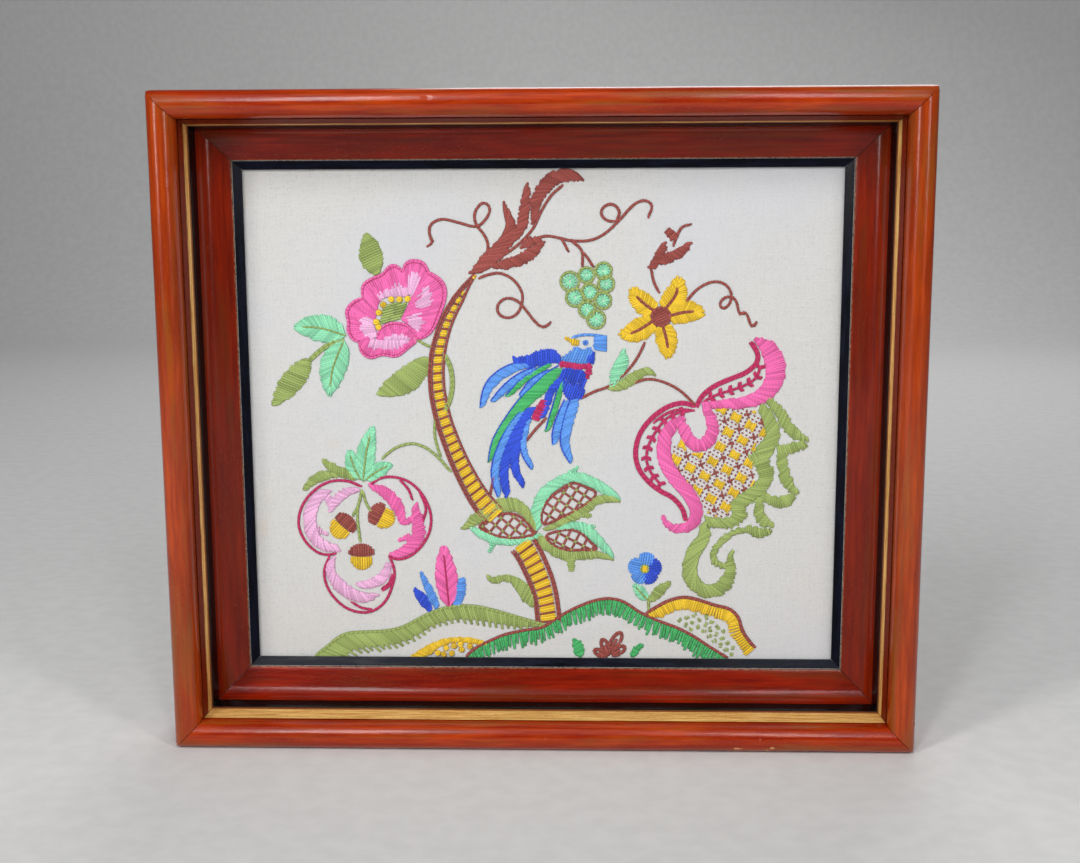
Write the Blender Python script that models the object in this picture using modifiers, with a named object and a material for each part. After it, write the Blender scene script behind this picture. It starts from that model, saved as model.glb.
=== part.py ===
"""Crewel embroidery panel in a deep stacked wooden frame, standing on its bottom edge.

The front faces -Y and +Z is up. The origin is at the middle of the footprint, on the surface.
Each rail is a moulding outline, extruded along its side of the frame and cut at 45 degrees.
An outline's points are (inset, depth): inset runs inwards from the frame's outer edge, and
depth runs back from the front of the bead.
"""

import math

import bmesh
import bpy
from mathutils import Matrix, Vector

MM = 0.001

# Driving dimensions
FRAME_WIDTH = 360 * MM
FRAME_HEIGHT = 315 * MM
FRAME_DEPTH = 46 * MM
GAP = 0.3 * MM

# Outer moulding: a half-round bead with a rebate behind it
BEAD_RADIUS = 6.5 * MM
BEAD_STEPS = 18
OUTER_LIP_BACK = 12 * MM
OUTER_BODY_WIDTH = 9.5 * MM

# Gilt slip: a steep face from the bead down to a narrow edge
GILT_FRONT_DEPTH = 9.3 * MM
GILT_SIGHT_INSET = 16 * MM
GILT_SIGHT_DEPTH = 17 * MM

# Inner moulding: a steep ebonised band, a cove and a gentle slope to the sight edge
BAND_FOOT_INSET = 17.5 * MM
BAND_FOOT_DEPTH = 24 * MM
COVE_RADIUS = 7.4 * MM
COVE_END_ANGLE = 68
COVE_STEPS = 10
INNER_SIGHT_INSET = 31.4 * MM
INNER_SIGHT_DEPTH = 34.3 * MM
EDGE_THICKNESS = 0.4 * MM
INNER_REBATE_INSET = 27.5 * MM
INNER_BACK_DEPTH = 44 * MM

# Black slip: a thin bevelled rail round the sight opening
SLIP_SIGHT_INSET = 36 * MM
SLIP_BEVEL_DROP = 2.2 * MM
SLIP_EDGE = 0.2 * MM

# Linen, with the height of its stitches, and the board behind it
LINEN_THICKNESS = 1.6 * MM
BOARD_THICKNESS = 3 * MM

# Worked out from those
FRONT_Y = -FRAME_DEPTH / 2
LAYER_INSET = INNER_REBATE_INSET + GAP
SLIP_FRONT_DEPTH = INNER_SIGHT_DEPTH + EDGE_THICKNESS + GAP
SLIP_BACK_DEPTH = SLIP_FRONT_DEPTH + SLIP_BEVEL_DROP + SLIP_EDGE
LINEN_FRONT_DEPTH = SLIP_BACK_DEPTH + GAP
BOARD_FRONT_DEPTH = LINEN_FRONT_DEPTH + LINEN_THICKNESS + GAP

# Side name, turn about the frame's centre in degrees, length along it, and height across it
SIDES = (
    ("bottom", 0, FRAME_WIDTH, FRAME_HEIGHT),
    ("left", 90, FRAME_HEIGHT, FRAME_WIDTH),
    ("top", 180, FRAME_WIDTH, FRAME_HEIGHT),
    ("right", 270, FRAME_HEIGHT, FRAME_WIDTH),
)


def clear_scene():
    for obj in list(bpy.data.objects):
        bpy.data.objects.remove(obj, do_unlink=True)


def make_material(name, colour, roughness, metallic=0.0):
    material = bpy.data.materials.new(name)
    material.use_nodes = True
    shader = material.node_tree.nodes["Principled BSDF"]
    shader.inputs["Base Color"].default_value = (*colour, 1)
    shader.inputs["Roughness"].default_value = roughness
    shader.inputs["Metallic"].default_value = metallic
    return material


def arc(centre, radius, start, end, steps):
    """Points on an arc, where 0 degrees points along +inset and 90 along +depth."""
    angles = [math.radians(start + (end - start) * i / steps) for i in range(steps + 1)]
    return [
        (centre[0] + radius * math.cos(a), centre[1] + radius * math.sin(a)) for a in angles
    ]


def outer_moulding_outline():
    bead = arc((BEAD_RADIUS, BEAD_RADIUS), BEAD_RADIUS, 180, 360, BEAD_STEPS)
    return [(0, FRAME_DEPTH)] + bead + [
        (2 * BEAD_RADIUS, OUTER_LIP_BACK),
        (OUTER_BODY_WIDTH, OUTER_LIP_BACK),
        (OUTER_BODY_WIDTH, FRAME_DEPTH),
    ]


def gilt_slip_outline():
    front_inset = 2 * BEAD_RADIUS + GAP
    back_inset = OUTER_BODY_WIDTH + GAP
    shoulder = OUTER_LIP_BACK + GAP
    return [
        (front_inset, GILT_FRONT_DEPTH),
        (GILT_SIGHT_INSET, GILT_SIGHT_DEPTH),
        (GILT_SIGHT_INSET, GILT_SIGHT_DEPTH + EDGE_THICKNESS),
        (back_inset, GILT_SIGHT_DEPTH + EDGE_THICKNESS),
        (back_inset, shoulder),
        (front_inset, shoulder),
    ]


def inner_moulding_outline():
    front = GILT_SIGHT_DEPTH + EDGE_THICKNESS + GAP
    back_inset = OUTER_BODY_WIDTH + GAP
    cove_centre = (BAND_FOOT_INSET + COVE_RADIUS, BAND_FOOT_DEPTH)
    cove = arc(cove_centre, COVE_RADIUS, 180, 180 - COVE_END_ANGLE, COVE_STEPS)
    return [
        (back_inset, front),
        (GILT_SIGHT_INSET + GAP, front),
    ] + cove + [
        (INNER_SIGHT_INSET, INNER_SIGHT_DEPTH),
        (INNER_SIGHT_INSET, INNER_SIGHT_DEPTH + EDGE_THICKNESS),
        (INNER_REBATE_INSET, INNER_SIGHT_DEPTH + EDGE_THICKNESS),
        (INNER_REBATE_INSET, INNER_BACK_DEPTH),
        (back_inset, INNER_BACK_DEPTH),
    ]


def black_slip_outline():
    return [
        (LAYER_INSET, SLIP_FRONT_DEPTH),
        (INNER_SIGHT_INSET + GAP, SLIP_FRONT_DEPTH),
        (SLIP_SIGHT_INSET, SLIP_FRONT_DEPTH + SLIP_BEVEL_DROP),
        (SLIP_SIGHT_INSET, SLIP_BACK_DEPTH),
        (LAYER_INSET, SLIP_BACK_DEPTH),
    ]


def extruded_mesh(name, outline, length):
    """A mesh of the outline, filled and extruded by length, half of it each way along local Z."""
    curve = bpy.data.curves.new(name + "_outline", "CURVE")
    curve.dimensions = "2D"
    curve.fill_mode = "BOTH"
    curve.extrude = length / 2
    spline = curve.splines.new("POLY")
    spline.points.add(len(outline) - 1)
    for point, (inset, depth) in zip(spline.points, outline):
        point.co = (inset, depth, 0, 1)
    spline.use_cyclic_u = True
    guide = bpy.data.objects.new(name + "_guide", curve)
    bpy.context.scene.collection.objects.link(guide)
    bpy.context.view_layer.update()
    evaluated = guide.evaluated_get(bpy.context.evaluated_depsgraph_get())
    mesh = bpy.data.meshes.new_from_object(evaluated)
    mesh.name = name
    bpy.data.objects.remove(guide, do_unlink=True)
    bpy.data.curves.remove(curve)
    return mesh


def cut_mitres(mesh, length):
    """Cuts both ends of a rail at 45 degrees, half a gap short of the corner, and caps them."""
    shape = bmesh.new()
    shape.from_mesh(mesh)
    bmesh.ops.remove_doubles(shape, verts=shape.verts, dist=0.01 * MM)
    for end in (-1, 1):
        normal = Vector((1, 0, end)).normalized()
        corner = Vector((0, 0, end * length / 2))
        whole = list(shape.verts) + list(shape.edges) + list(shape.faces)
        cut = bmesh.ops.bisect_plane(
            shape,
            geom=whole,
            plane_co=corner - normal * GAP / 2,
            plane_no=normal,
            clear_outer=True,
        )
        rim = [item for item in cut["geom_cut"] if isinstance(item, bmesh.types.BMEdge)]
        bmesh.ops.contextual_create(shape, geom=rim)
    bmesh.ops.recalc_face_normals(shape, faces=shape.faces)
    shape.to_mesh(mesh)
    shape.free()


def add_rails(name, outline, material, parts):
    """Four mitred rails of one moulding, one to each side of the frame."""
    centre = Matrix.Translation((0, 0, FRAME_HEIGHT / 2))
    upright = Matrix(((0, 0, -1, 0), (0, 1, 0, 0), (1, 0, 0, 0), (0, 0, 0, 1)))
    for side, turn, length, across in SIDES:
        mesh = extruded_mesh(f"{name}_{side}", outline, length)
        cut_mitres(mesh, length)
        mesh.shade_smooth()
        mesh.set_sharp_from_angle(angle=math.radians(25))
        mesh.materials.clear()
        mesh.materials.append(material)
        rail = bpy.data.objects.new(f"{name}_{side}", mesh)
        to_edge = Matrix.Translation((0, FRONT_Y, -across / 2))
        spin = Matrix.Rotation(math.radians(turn), 4, "Y")
        rail.matrix_world = centre @ spin @ to_edge @ upright
        parts.objects.link(rail)


def add_layer(name, front_depth, thickness, material, parts):
    """A flat sheet that fills the inner moulding's rebate, as an open plane made solid."""
    bpy.ops.mesh.primitive_plane_add(size=1, rotation=(math.radians(90), 0, 0))
    layer = bpy.context.object
    layer.name = name
    layer.data.name = name
    width = FRAME_WIDTH - 2 * LAYER_INSET
    height = FRAME_HEIGHT - 2 * LAYER_INSET
    layer.scale = (width, height, 1)
    bpy.ops.object.transform_apply(location=False, rotation=True, scale=True)
    layer.location = (0, FRONT_Y + front_depth + thickness / 2, FRAME_HEIGHT / 2)
    shell = layer.modifiers.new("thickness", "SOLIDIFY")
    shell.thickness = thickness
    shell.offset = 0
    layer.data.materials.append(material)
    for holder in list(layer.users_collection):
        holder.objects.unlink(layer)
    parts.objects.link(layer)


def main():
    clear_scene()
    parts = bpy.data.collections.new("crewel_embroidery_panel")
    bpy.context.scene.collection.children.link(parts)

    mahogany = make_material("mahogany_outer", (0.36, 0.075, 0.022), 0.28)
    gilt = make_material("worn_gilt", (0.55, 0.36, 0.12), 0.42, 0.35)
    dark_mahogany = make_material("mahogany_inner", (0.2, 0.028, 0.014), 0.3)
    ebonised = make_material("ebonised_wood", (0.012, 0.013, 0.022), 0.35)
    linen = make_material("linen", (0.7, 0.68, 0.62), 0.9)
    board = make_material("backing_board", (0.3, 0.2, 0.12), 0.85)

    add_rails("outer_moulding", outer_moulding_outline(), mahogany, parts)
    add_rails("gilt_slip", gilt_slip_outline(), gilt, parts)
    add_rails("inner_moulding", inner_moulding_outline(), dark_mahogany, parts)
    add_rails("black_slip", black_slip_outline(), ebonised, parts)
    add_layer("linen_panel", LINEN_FRONT_DEPTH, LINEN_THICKNESS, linen, parts)
    add_layer("backing_board", BOARD_FRONT_DEPTH, BOARD_THICKNESS, board, parts)


main()
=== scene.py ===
"""Looks for the crewel embroidery panel in its wooden frame.

The front faces -Y and +Z is up. The rails are swept again with fine sections, worn edges and
chips, the linen is a thin uneven sheet, and each stitch is a strand of wool of its own.
A design point is (across, up) in millimetres: across from the panel's middle, and up from the
surface that the frame stands on. The motifs are drawn here with short lists of such points.
"""

import math
from collections import namedtuple

import bpy
import numpy as np
from mathutils import Matrix, Quaternion, Vector


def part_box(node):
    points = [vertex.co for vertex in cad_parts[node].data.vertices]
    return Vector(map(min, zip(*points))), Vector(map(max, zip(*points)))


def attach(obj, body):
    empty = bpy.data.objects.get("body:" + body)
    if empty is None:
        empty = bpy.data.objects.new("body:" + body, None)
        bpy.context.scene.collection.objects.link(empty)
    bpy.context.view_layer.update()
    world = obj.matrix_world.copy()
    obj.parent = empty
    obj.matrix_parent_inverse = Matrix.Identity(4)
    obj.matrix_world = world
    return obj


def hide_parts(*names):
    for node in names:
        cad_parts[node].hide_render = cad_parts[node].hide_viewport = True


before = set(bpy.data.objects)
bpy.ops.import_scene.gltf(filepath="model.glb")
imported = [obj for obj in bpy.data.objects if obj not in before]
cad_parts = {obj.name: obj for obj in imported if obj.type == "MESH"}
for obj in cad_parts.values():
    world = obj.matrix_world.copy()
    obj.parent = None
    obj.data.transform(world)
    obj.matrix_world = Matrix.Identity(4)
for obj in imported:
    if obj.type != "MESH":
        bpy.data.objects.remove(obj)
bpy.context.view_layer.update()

MM = 0.001
rng = np.random.default_rng(41)

LOWEST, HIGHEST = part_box("outer_moulding_bottom")
FRAME_WIDTH = (HIGHEST.x - LOWEST.x) / MM
FRONT = LOWEST.y
FRAME_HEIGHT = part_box("outer_moulding_left")[1].z / MM
LINEN_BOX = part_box("linen_panel")
BOARD_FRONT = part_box("backing_board")[0].y

# Linen: its face lies this far behind the solid's front, which leaves room for the stitches
STITCH_ROOM = 0.9
LINEN_FACE = LINEN_BOX[0].y + STITCH_ROOM * MM
LINEN_BACK = BOARD_FRONT - 0.1 * MM
LINEN_SLACK = 0.25
LINEN_CELL = 2.6

# One repeat of the weave, which is two threads wide, in metres
WEAVE_REPEAT = 0.00056

# Wool: width of a satin stitch, distance from one to the next, and how far it stands up
YARN_WIDTH = 1.3
YARN_PITCH = 1.2
YARN_HEIGHT = 0.7
YARN_SIDES = 8
THIN_WIDTH = 0.8
THIN_HEIGHT = 0.4

# How far stitches that are worked over others are lifted
TOP_LAYER = 0.3

CAMERA_PLACE = Vector((0.024, -0.711, 0.2765))
CAMERA_TARGET = Vector((0, FRONT, 0.158))
CAMERA_ROLL = math.radians(-0.28)
CAMERA_LENS = 50


def tone(red, green, blue):
    """A linear colour from its everyday values of 0 to 255."""
    parts = [value / 255 for value in (red, green, blue)]
    linear = [p / 12.92 if p < 0.04045 else ((p + 0.055) / 1.055) ** 2.4 for p in parts]
    return (*linear, 1)


WOOLS = {
    "olive": tone(164, 184, 104),
    "mint": tone(150, 230, 186),
    "emerald": tone(74, 190, 110),
    "hot_pink": tone(253, 112, 184),
    "pale_pink": tone(248, 188, 228),
    "crimson": tone(204, 40, 104),
    "brown": tone(164, 78, 70),
    "yellow": tone(250, 206, 44),
    "royal_blue": tone(46, 86, 226),
    "sky_blue": tone(98, 162, 250),
}


# Materials

class Graph:
    """A material's nodes. A value given to a call is a socket, a number or a colour."""

    def __init__(self, name):
        self.material = bpy.data.materials.new(name)
        self.material.use_nodes = True
        self.nodes = self.material.node_tree.nodes
        self.links = self.material.node_tree.links
        self.shader = self.nodes["Principled BSDF"]

    def put(self, value, socket):
        if isinstance(value, bpy.types.NodeSocket):
            self.links.new(value, socket)
        else:
            socket.default_value = value

    def surface(self, **values):
        for name, value in values.items():
            self.put(value, self.shader.inputs[name.replace("_", " ")])

    def node(self, kind, values, **settings):
        made = self.nodes.new(kind)
        for name, setting in settings.items():
            setattr(made, name, setting)
        for name, value in values.items():
            self.put(value, made.inputs[name])
        return made

    def attribute(self, name):
        return self.node("ShaderNodeAttribute", {}, attribute_name=name)

    def place(self):
        return self.nodes.new("ShaderNodeTexCoord").outputs["Object"]

    def split(self, vector):
        return self.node("ShaderNodeSeparateXYZ", {"Vector": vector}).outputs

    def stretch(self, vector, scale):
        mapped = self.node("ShaderNodeMapping", {"Vector": vector, "Scale": scale})
        return mapped.outputs["Vector"]

    def noise(self, vector, scale, detail=2.0, roughness=0.5):
        values = {"Vector": vector, "Scale": scale, "Detail": detail, "Roughness": roughness}
        return self.node("ShaderNodeTexNoise", values).outputs["Fac"]

    def streaks(self, vector, along, across, detail=2.0, roughness=0.5):
        """Noise drawn out along a vector's first part."""
        return self.noise(self.stretch(vector, (along, across, across)), 1.0, detail, roughness)

    def math(self, operation, first, second=0.0, clamp=False):
        values = {0: first, 1: second}
        made = self.node("ShaderNodeMath", values, operation=operation, use_clamp=clamp)
        return made.outputs[0]

    def steps(self, value, low, high, to_low=0.0, to_high=1.0):
        values = {"Value": value, "From Min": low, "From Max": high}
        values.update({"To Min": to_low, "To Max": to_high})
        made = self.node("ShaderNodeMapRange", values, interpolation_type="SMOOTHSTEP")
        return made.outputs["Result"]

    def mix(self, share, first, second):
        made = self.node("ShaderNodeMix", {}, data_type="RGBA")
        self.put(share, made.inputs["Factor"])
        self.put(first, made.inputs[6])
        self.put(second, made.inputs[7])
        return made.outputs[2]

    def bump(self, height, distance, strength=1.0):
        values = {"Height": height, "Distance": distance, "Strength": strength}
        return self.node("ShaderNodeBump", values).outputs["Normal"]


# The grain's place along a rail is shifted by this much, in mm, from each side to the next
GRAIN_SHIFT = 500


def from_side(g, along, number, low=0.0, high=1.0):
    """A value that goes from low to high between the last side's rail and this one's."""
    switch = (number - 0.5) * GRAIN_SHIFT
    return g.steps(along, switch - 10, switch + 10, low, high)


VARNISH_ROUGHNESS = 0.14
SIDE_GOLD_AND_LIGHT = 0.14
RAW_EDGE = tone(214, 158, 100)
RAW_WOOD = tone(222, 160, 104)
PORE = tone(72, 14, 3)
SCUFF = tone(214, 112, 36)

Wood = namedtuple("Wood", "graph rail body pores worn")


def polished_wood(name, light, dark, gold):
    """Mahogany under old varnish. The rail attribute holds (along, depth, inset) in mm."""
    g = Graph(name)
    rail = g.attribute("rail").outputs["Vector"]
    grain = g.streaks(rail, 0.035, 0.5, 6.0, 0.6)
    pores = g.streaks(rail, 0.35, 6.0, 3.0, 0.7)
    cloud = g.streaks(rail, 0.02, 0.09)
    body = g.mix(g.steps(grain, 0.18, 0.86), dark, light)
    body = g.mix(g.steps(cloud, 0.35, 0.7, 0.0, 0.6), body, dark)
    body = g.mix(g.steps(pores, 0.56, 0.74, 0.0, 0.5), body, PORE)
    scuffs = g.streaks(rail, 0.5, 3.0, 5.0, 0.75)
    worn = g.math("MULTIPLY", g.steps(scuffs, 0.55, 0.72), g.steps(cloud, 0.42, 0.62))
    body = g.mix(g.math("MULTIPLY", worn, 0.3), body, SCUFF)
    amber = g.streaks(rail, 0.014, 0.16, 3.0, 0.6)
    body = g.mix(g.steps(amber, 0.46, 0.7, 0.0, 0.45), body, gold)
    # The second and the fourth side, left and right, are a little more golden: partly their own tone,
    # partly painted light for the highlights they catch
    along = g.math("MODULO", g.split(rail)[0], 2 * GRAIN_SHIFT)
    sides = g.math("MULTIPLY", from_side(g, along, 1), from_side(g, along, 2, 1.0, 0.0))
    body = g.mix(g.math("MULTIPLY", sides, SIDE_GOLD_AND_LIGHT), body, gold)
    broken = g.streaks(rail, 0.4, 1.4, 4.0, 0.7)
    edge = g.attribute("edge").outputs["Fac"]
    rubbed = g.math("MULTIPLY", edge, g.steps(broken, 0.38, 0.6), clamp=True)
    body = g.mix(rubbed, body, RAW_EDGE)
    bare = g.attribute("bare").outputs["Fac"]
    body = g.mix(g.steps(bare, 0.35, 0.6), body, RAW_WOOD)
    return Wood(g, rail, body, pores, worn)


def finish_wood(wood, body, shine):
    """Joins a wood's colour to the shader, with the varnish's small pits and rubbed patches."""
    g = wood.graph
    rough = g.math("ADD", g.math("MULTIPLY", wood.worn, 0.2), VARNISH_ROUGHNESS)
    rough = g.math("ADD", rough, g.math("MULTIPLY", wood.pores, 0.12))
    ripple = g.streaks(wood.rail, 0.25, 0.8, 3.0, 0.6)
    height = g.math("ADD", g.math("MULTIPLY", ripple, 3.0), g.math("MULTIPLY", wood.pores, 0.5))
    g.surface(Base_Color=body, Roughness=rough, Normal=g.bump(height, 0.00008, 0.28))
    g.surface(Specular_IOR_Level=shine, Coat_Weight=0.08, Coat_Roughness=0.05, Coat_IOR=1.5)
    return g.material


def outer_wood():
    tones = (tone(194, 68, 3), tone(132, 22, 1), tone(128, 86, 32))
    wood = polished_wood("varnished_mahogany", *tones)
    return finish_wood(wood, wood.body, 0.34)


def inner_wood():
    """The inner moulding: mahogany in the cove, with a near-black band up to its front."""
    # Darker tones than the bead's: partly the cove's own colour, partly painted shade for its place
    # deep in the frame
    tones = (tone(156, 34, 1), tone(98, 9, 1), tone(96, 48, 16))
    wood = polished_wood("cove_mahogany", *tones)
    g = wood.graph
    along, depth, inset = g.split(wood.rail)
    # The steep band from the gilt down to the cove is coloured near black
    wobble = g.math("MULTIPLY", g.streaks(wood.rail, 0.2, 0.2), 0.4)
    band = g.steps(g.math("ADD", depth, wobble), BAND_FOOT, BAND_FOOT + 0.35, 1.0, 0.0)
    band = g.math("MULTIPLY", band, g.steps(inset, 15.0, 15.2))
    body = g.mix(band, wood.body, tone(9, 4, 5))
    return finish_wood(wood, body, 0.21)


def gilding():
    """Worn gilding over brown wood. The brown strip is widest on the top rail, then on the sides:
    partly wear, partly painted shade where the gilt faces down or sideways, away from the light from
    above.
    """
    g = Graph("worn_gilding")
    rail = g.attribute("rail").outputs["Vector"]
    along, depth, inset = g.split(rail)
    streaks = g.streaks(rail, 0.05, 2.5, 5.0, 0.7)
    specks = g.streaks(rail, 0.7, 2.2, 4.0, 0.7)
    gold = g.mix(g.steps(streaks, 0.36, 0.66), tone(190, 130, 58), tone(250, 206, 128))
    gold = g.mix(g.steps(specks, 0.56, 0.7, 0.0, 0.7), gold, tone(104, 46, 18))
    brown = g.mix(g.steps(specks, 0.3, 0.7), tone(78, 10, 1), tone(132, 42, 8))
    strip = g.math("ADD", inset, g.math("MULTIPLY", streaks, 0.8))
    # Top and side rails get a wider brown strip: partly wear, partly painted shade on gilt that faces
    # away from the light from above
    on_sides = from_side(g, along, 1, 0.0, 1.6)
    on_top = g.math("MULTIPLY", from_side(g, along, 2), from_side(g, along, 3, 1.0, 0.0))
    limit = g.math("ADD", g.math("ADD", on_sides, 13.4), g.math("MULTIPLY", on_top, 0.5))
    bare = g.steps(g.math("SUBTRACT", strip, limit), 0.0, 0.3, 1.0, 0.0)
    body = g.mix(bare, gold, brown)
    lip = g.steps(g.math("ADD", depth, g.math("MULTIPLY", specks, 0.8)), 16.2, 16.5)
    body = g.mix(g.math("MULTIPLY", lip, 0.85), body, brown)
    metal = g.math("MULTIPLY", g.math("SUBTRACT", 1.0, bare), 0.25)
    g.surface(Base_Color=body, Metallic=metal, Roughness=g.steps(streaks, 0.3, 0.7, 0.5, 0.34))
    g.surface(Normal=g.bump(specks, 0.00005, 0.6), Specular_IOR_Level=0.2)
    return g.material


def ebony():
    """The black slip: thin blue-black paint with dust specks and a pale, broken line along its front
    edge.
    """
    g = Graph("ebonised_slip")
    rail = g.attribute("rail").outputs["Vector"]
    flecks = g.streaks(rail, 0.9, 2.4, 4.0, 0.75)
    cloud = g.streaks(rail, 0.05, 0.3)
    body = g.mix(g.steps(cloud, 0.3, 0.7), tone(3, 4, 14), tone(9, 13, 31))
    body = g.mix(g.steps(flecks, 0.71, 0.78), body, tone(70, 78, 104))
    # Pale broken lines along the edges that the section marks
    edge = g.attribute("edge").outputs["Fac"]
    rubbed = g.math("MULTIPLY", edge, g.steps(flecks, 0.34, 0.55), clamp=True)
    body = g.mix(rubbed, body, tone(176, 168, 160))
    g.surface(Base_Color=body, Roughness=g.steps(cloud, 0.3, 0.7, 0.2, 0.32))
    g.surface(Normal=g.bump(flecks, 0.00003, 0.5), Specular_IOR_Level=0.09)
    return g.material


def linen_cloth():
    """Plain weave at about 36 threads a centimetre, with thick threads and faint stains."""
    g = Graph("linen_plain_weave")
    place = g.place()
    bend = g.noise(place, 60.0, 2.0)
    across = g.split(place)[0]
    up = g.split(place)[2]
    weave = []
    shades = []
    for own, other in ((across, up), (up, across)):
        scaled = {"X": g.math("MULTIPLY", own, 1500.0), "Y": g.math("MULTIPLY", other, 60.0)}
        line = g.node("ShaderNodeCombineXYZ", scaled)
        shades.append(g.noise(line.outputs[0], 1.0, 2.0, 0.6))
        turn = g.math("MULTIPLY", own, 2 * math.pi / WEAVE_REPEAT)
        turn = g.math("ADD", turn, g.math("MULTIPLY", bend, 7.0))
        weave.append(g.math("SINE", turn))
    crossing = g.math("MULTIPLY", weave[0], weave[1])
    threads = g.math("ADD", g.math("ABSOLUTE", weave[0]), g.math("ABSOLUTE", weave[1]))
    height = g.math("ADD", threads, g.math("MULTIPLY", crossing, 0.6))
    slubs = g.math("ADD", shades[0], shades[1])
    body = g.mix(g.steps(slubs, 0.65, 1.35), tone(216, 216, 214), tone(223, 223, 220))
    # Painted shade: darker where the threads dip, in the hollows between them
    body = g.mix(g.steps(height, 0.2, 1.6, 0.26, 0.0), body, tone(164, 164, 162))
    grit = g.noise(place, 1100.0, 2.0, 0.7)
    body = g.mix(g.steps(grit, 0.5, 0.74, 0.0, 0.5), body, tone(186, 186, 186))
    cool = g.noise(place, 9.0, 2.0)
    body = g.mix(g.steps(cool, 0.4, 0.7, 0.0, 0.4), body, tone(210, 214, 226))
    stain = g.noise(place, 26.0, 3.0)
    body = g.mix(g.steps(stain, 0.68, 0.8, 0.0, 0.3), body, tone(214, 192, 170))
    height = g.math("ADD", height, g.math("MULTIPLY", slubs, 1.5))
    g.surface(Base_Color=body, Roughness=0.92, Normal=g.bump(height, 0.00007, 0.7))
    g.surface(Sheen_Weight=0.15, Sheen_Roughness=0.5)
    return g.material


def wool(name, colour):
    """Two-ply crewel wool. The yarn map runs once round the strand, and along it in mm."""
    g = Graph("wool_" + name)
    yarn = g.split(g.node("ShaderNodeUVMap", {}, uv_map="yarn").outputs["UV"])
    shade = g.attribute("shade").outputs["Fac"]
    place = g.place()
    turn = g.math("ADD", g.math("MULTIPLY", yarn[0], 2.0), g.math("MULTIPLY", yarn[1], 0.62))
    ply = g.math("ABSOLUTE", g.math("SINE", g.math("MULTIPLY", turn, math.pi)))
    hair = g.noise(place, 2600.0, 3.0, 0.7)
    deep = tuple(c ** 1.25 * 0.36 for c in colour[:3]) + (1,)
    pale = tuple(min(1.0, c * 1.12 + 0.06) for c in colour[:3]) + (1,)
    flank_for_painted_light = g.math("ABSOLUTE", g.math("COSINE", g.math("MULTIPLY", yarn[0], 2 * math.pi)))
    # Painted highlight: the crown of each strand is painted paler
    body = g.mix(g.steps(flank_for_painted_light, 0.05, 0.6, 0.34, 0.0), colour, pale)
    # Paler hairs strewn over the wool: partly its fuzz, partly painted highlight
    body = g.mix(g.steps(hair, 0.42, 0.78, 0.0, 0.55), body, pale)
    # Each strand's own shade: a random tone, with painted shade on each second stitch
    body = g.mix(g.steps(shade, 0.0, 1.0, 0.0, 0.46), body, deep)
    # Painted shade: the strand's sides, where it meets its neighbours, are painted darker
    body = g.mix(g.steps(flank_for_painted_light, 0.6, 0.98, 0.0, 0.92), body, deep)
    # Painted shade in the groove between the two plies
    body = g.mix(g.steps(ply, 0.0, 0.45, 0.4, 0.0), body, deep)
    height = g.math("ADD", g.math("POWER", ply, 0.6), g.math("MULTIPLY", hair, 0.5))
    g.surface(Base_Color=body, Roughness=0.82, Normal=g.bump(height, 0.00016, 0.8))
    g.surface(Sheen_Weight=0.25, Sheen_Roughness=0.45, Specular_IOR_Level=0.3)
    return g.material


def old_board():
    """The board behind the linen: brown and fibrous, with darker patches and specks."""
    g = Graph("old_backing_board")
    place = g.place()
    fibres = g.noise(g.stretch(place, (60.0, 60.0, 700.0)), 1.0, 5.0, 0.7)
    cloud = g.noise(place, 14.0, 4.0)
    specks = g.noise(place, 900.0, 2.0)
    body = g.mix(g.steps(fibres, 0.3, 0.7), tone(118, 86, 54), tone(158, 122, 82))
    body = g.mix(g.steps(cloud, 0.5, 0.75, 0.0, 0.5), body, tone(96, 66, 42))
    body = g.mix(g.steps(specks, 0.66, 0.74, 0.0, 0.6), body, tone(70, 48, 32))
    g.surface(Base_Color=body, Roughness=0.88, Normal=g.bump(fibres, 0.0002, 0.6))
    return g.material


def stage_paper():
    g = Graph("stage_paper")
    speck = g.noise(g.place(), 90.0, 3.0)
    body = g.mix(g.steps(speck, 0.3, 0.7), tone(212, 212, 211), tone(218, 218, 217))
    g.surface(Base_Color=body, Roughness=0.85)
    return g.material


# Rails

def arc(centre, radius, start, end, steps):
    """Points on an arc, where 0 degrees points along +inset and 90 along +depth."""
    angles = [math.radians(start + (end - start) * i / steps) for i in range(steps + 1)]
    return [
        (centre[0] + radius * math.cos(a), centre[1] + radius * math.sin(a)) for a in angles
    ]


# A corner of an outline in mm: its place, how far it is rounded off, and how worn its edge is
Corner = namedtuple("Corner", "inset depth radius edge", defaults=(0.0, 0.0))


def section(items, step):
    """A closed section as points with an edge value, from corners to round off and bare points."""
    corners = [Corner(*item) for item in items]
    rounded = []
    for k, c in enumerate(corners):
        here = np.array((c.inset, c.depth))
        if not c.radius:
            rounded.append((here, c.edge))
            continue
        before = np.array(corners[k - 1][:2]) - here
        after = np.array(corners[(k + 1) % len(corners)][:2]) - here
        start = here + before / np.linalg.norm(before) * c.radius
        end = here + after / np.linalg.norm(after) * c.radius
        for t in (0.0, 0.33, 0.67, 1.0):
            point = start * (1 - t) ** 2 + 2 * here * t * (1 - t) + end * t * t
            rounded.append((point, c.edge if 0.1 < t < 0.9 else 0.0))
    points = []
    for k, (point, edge) in enumerate(rounded):
        following = rounded[(k + 1) % len(rounded)][0]
        pieces = max(1, round(float(np.linalg.norm(following - point)) / step))
        points.append((*point, edge))
        for i in range(1, pieces):
            points.append((*(point + (following - point) * i / pieces), 0.0))
    return np.array(points)


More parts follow.
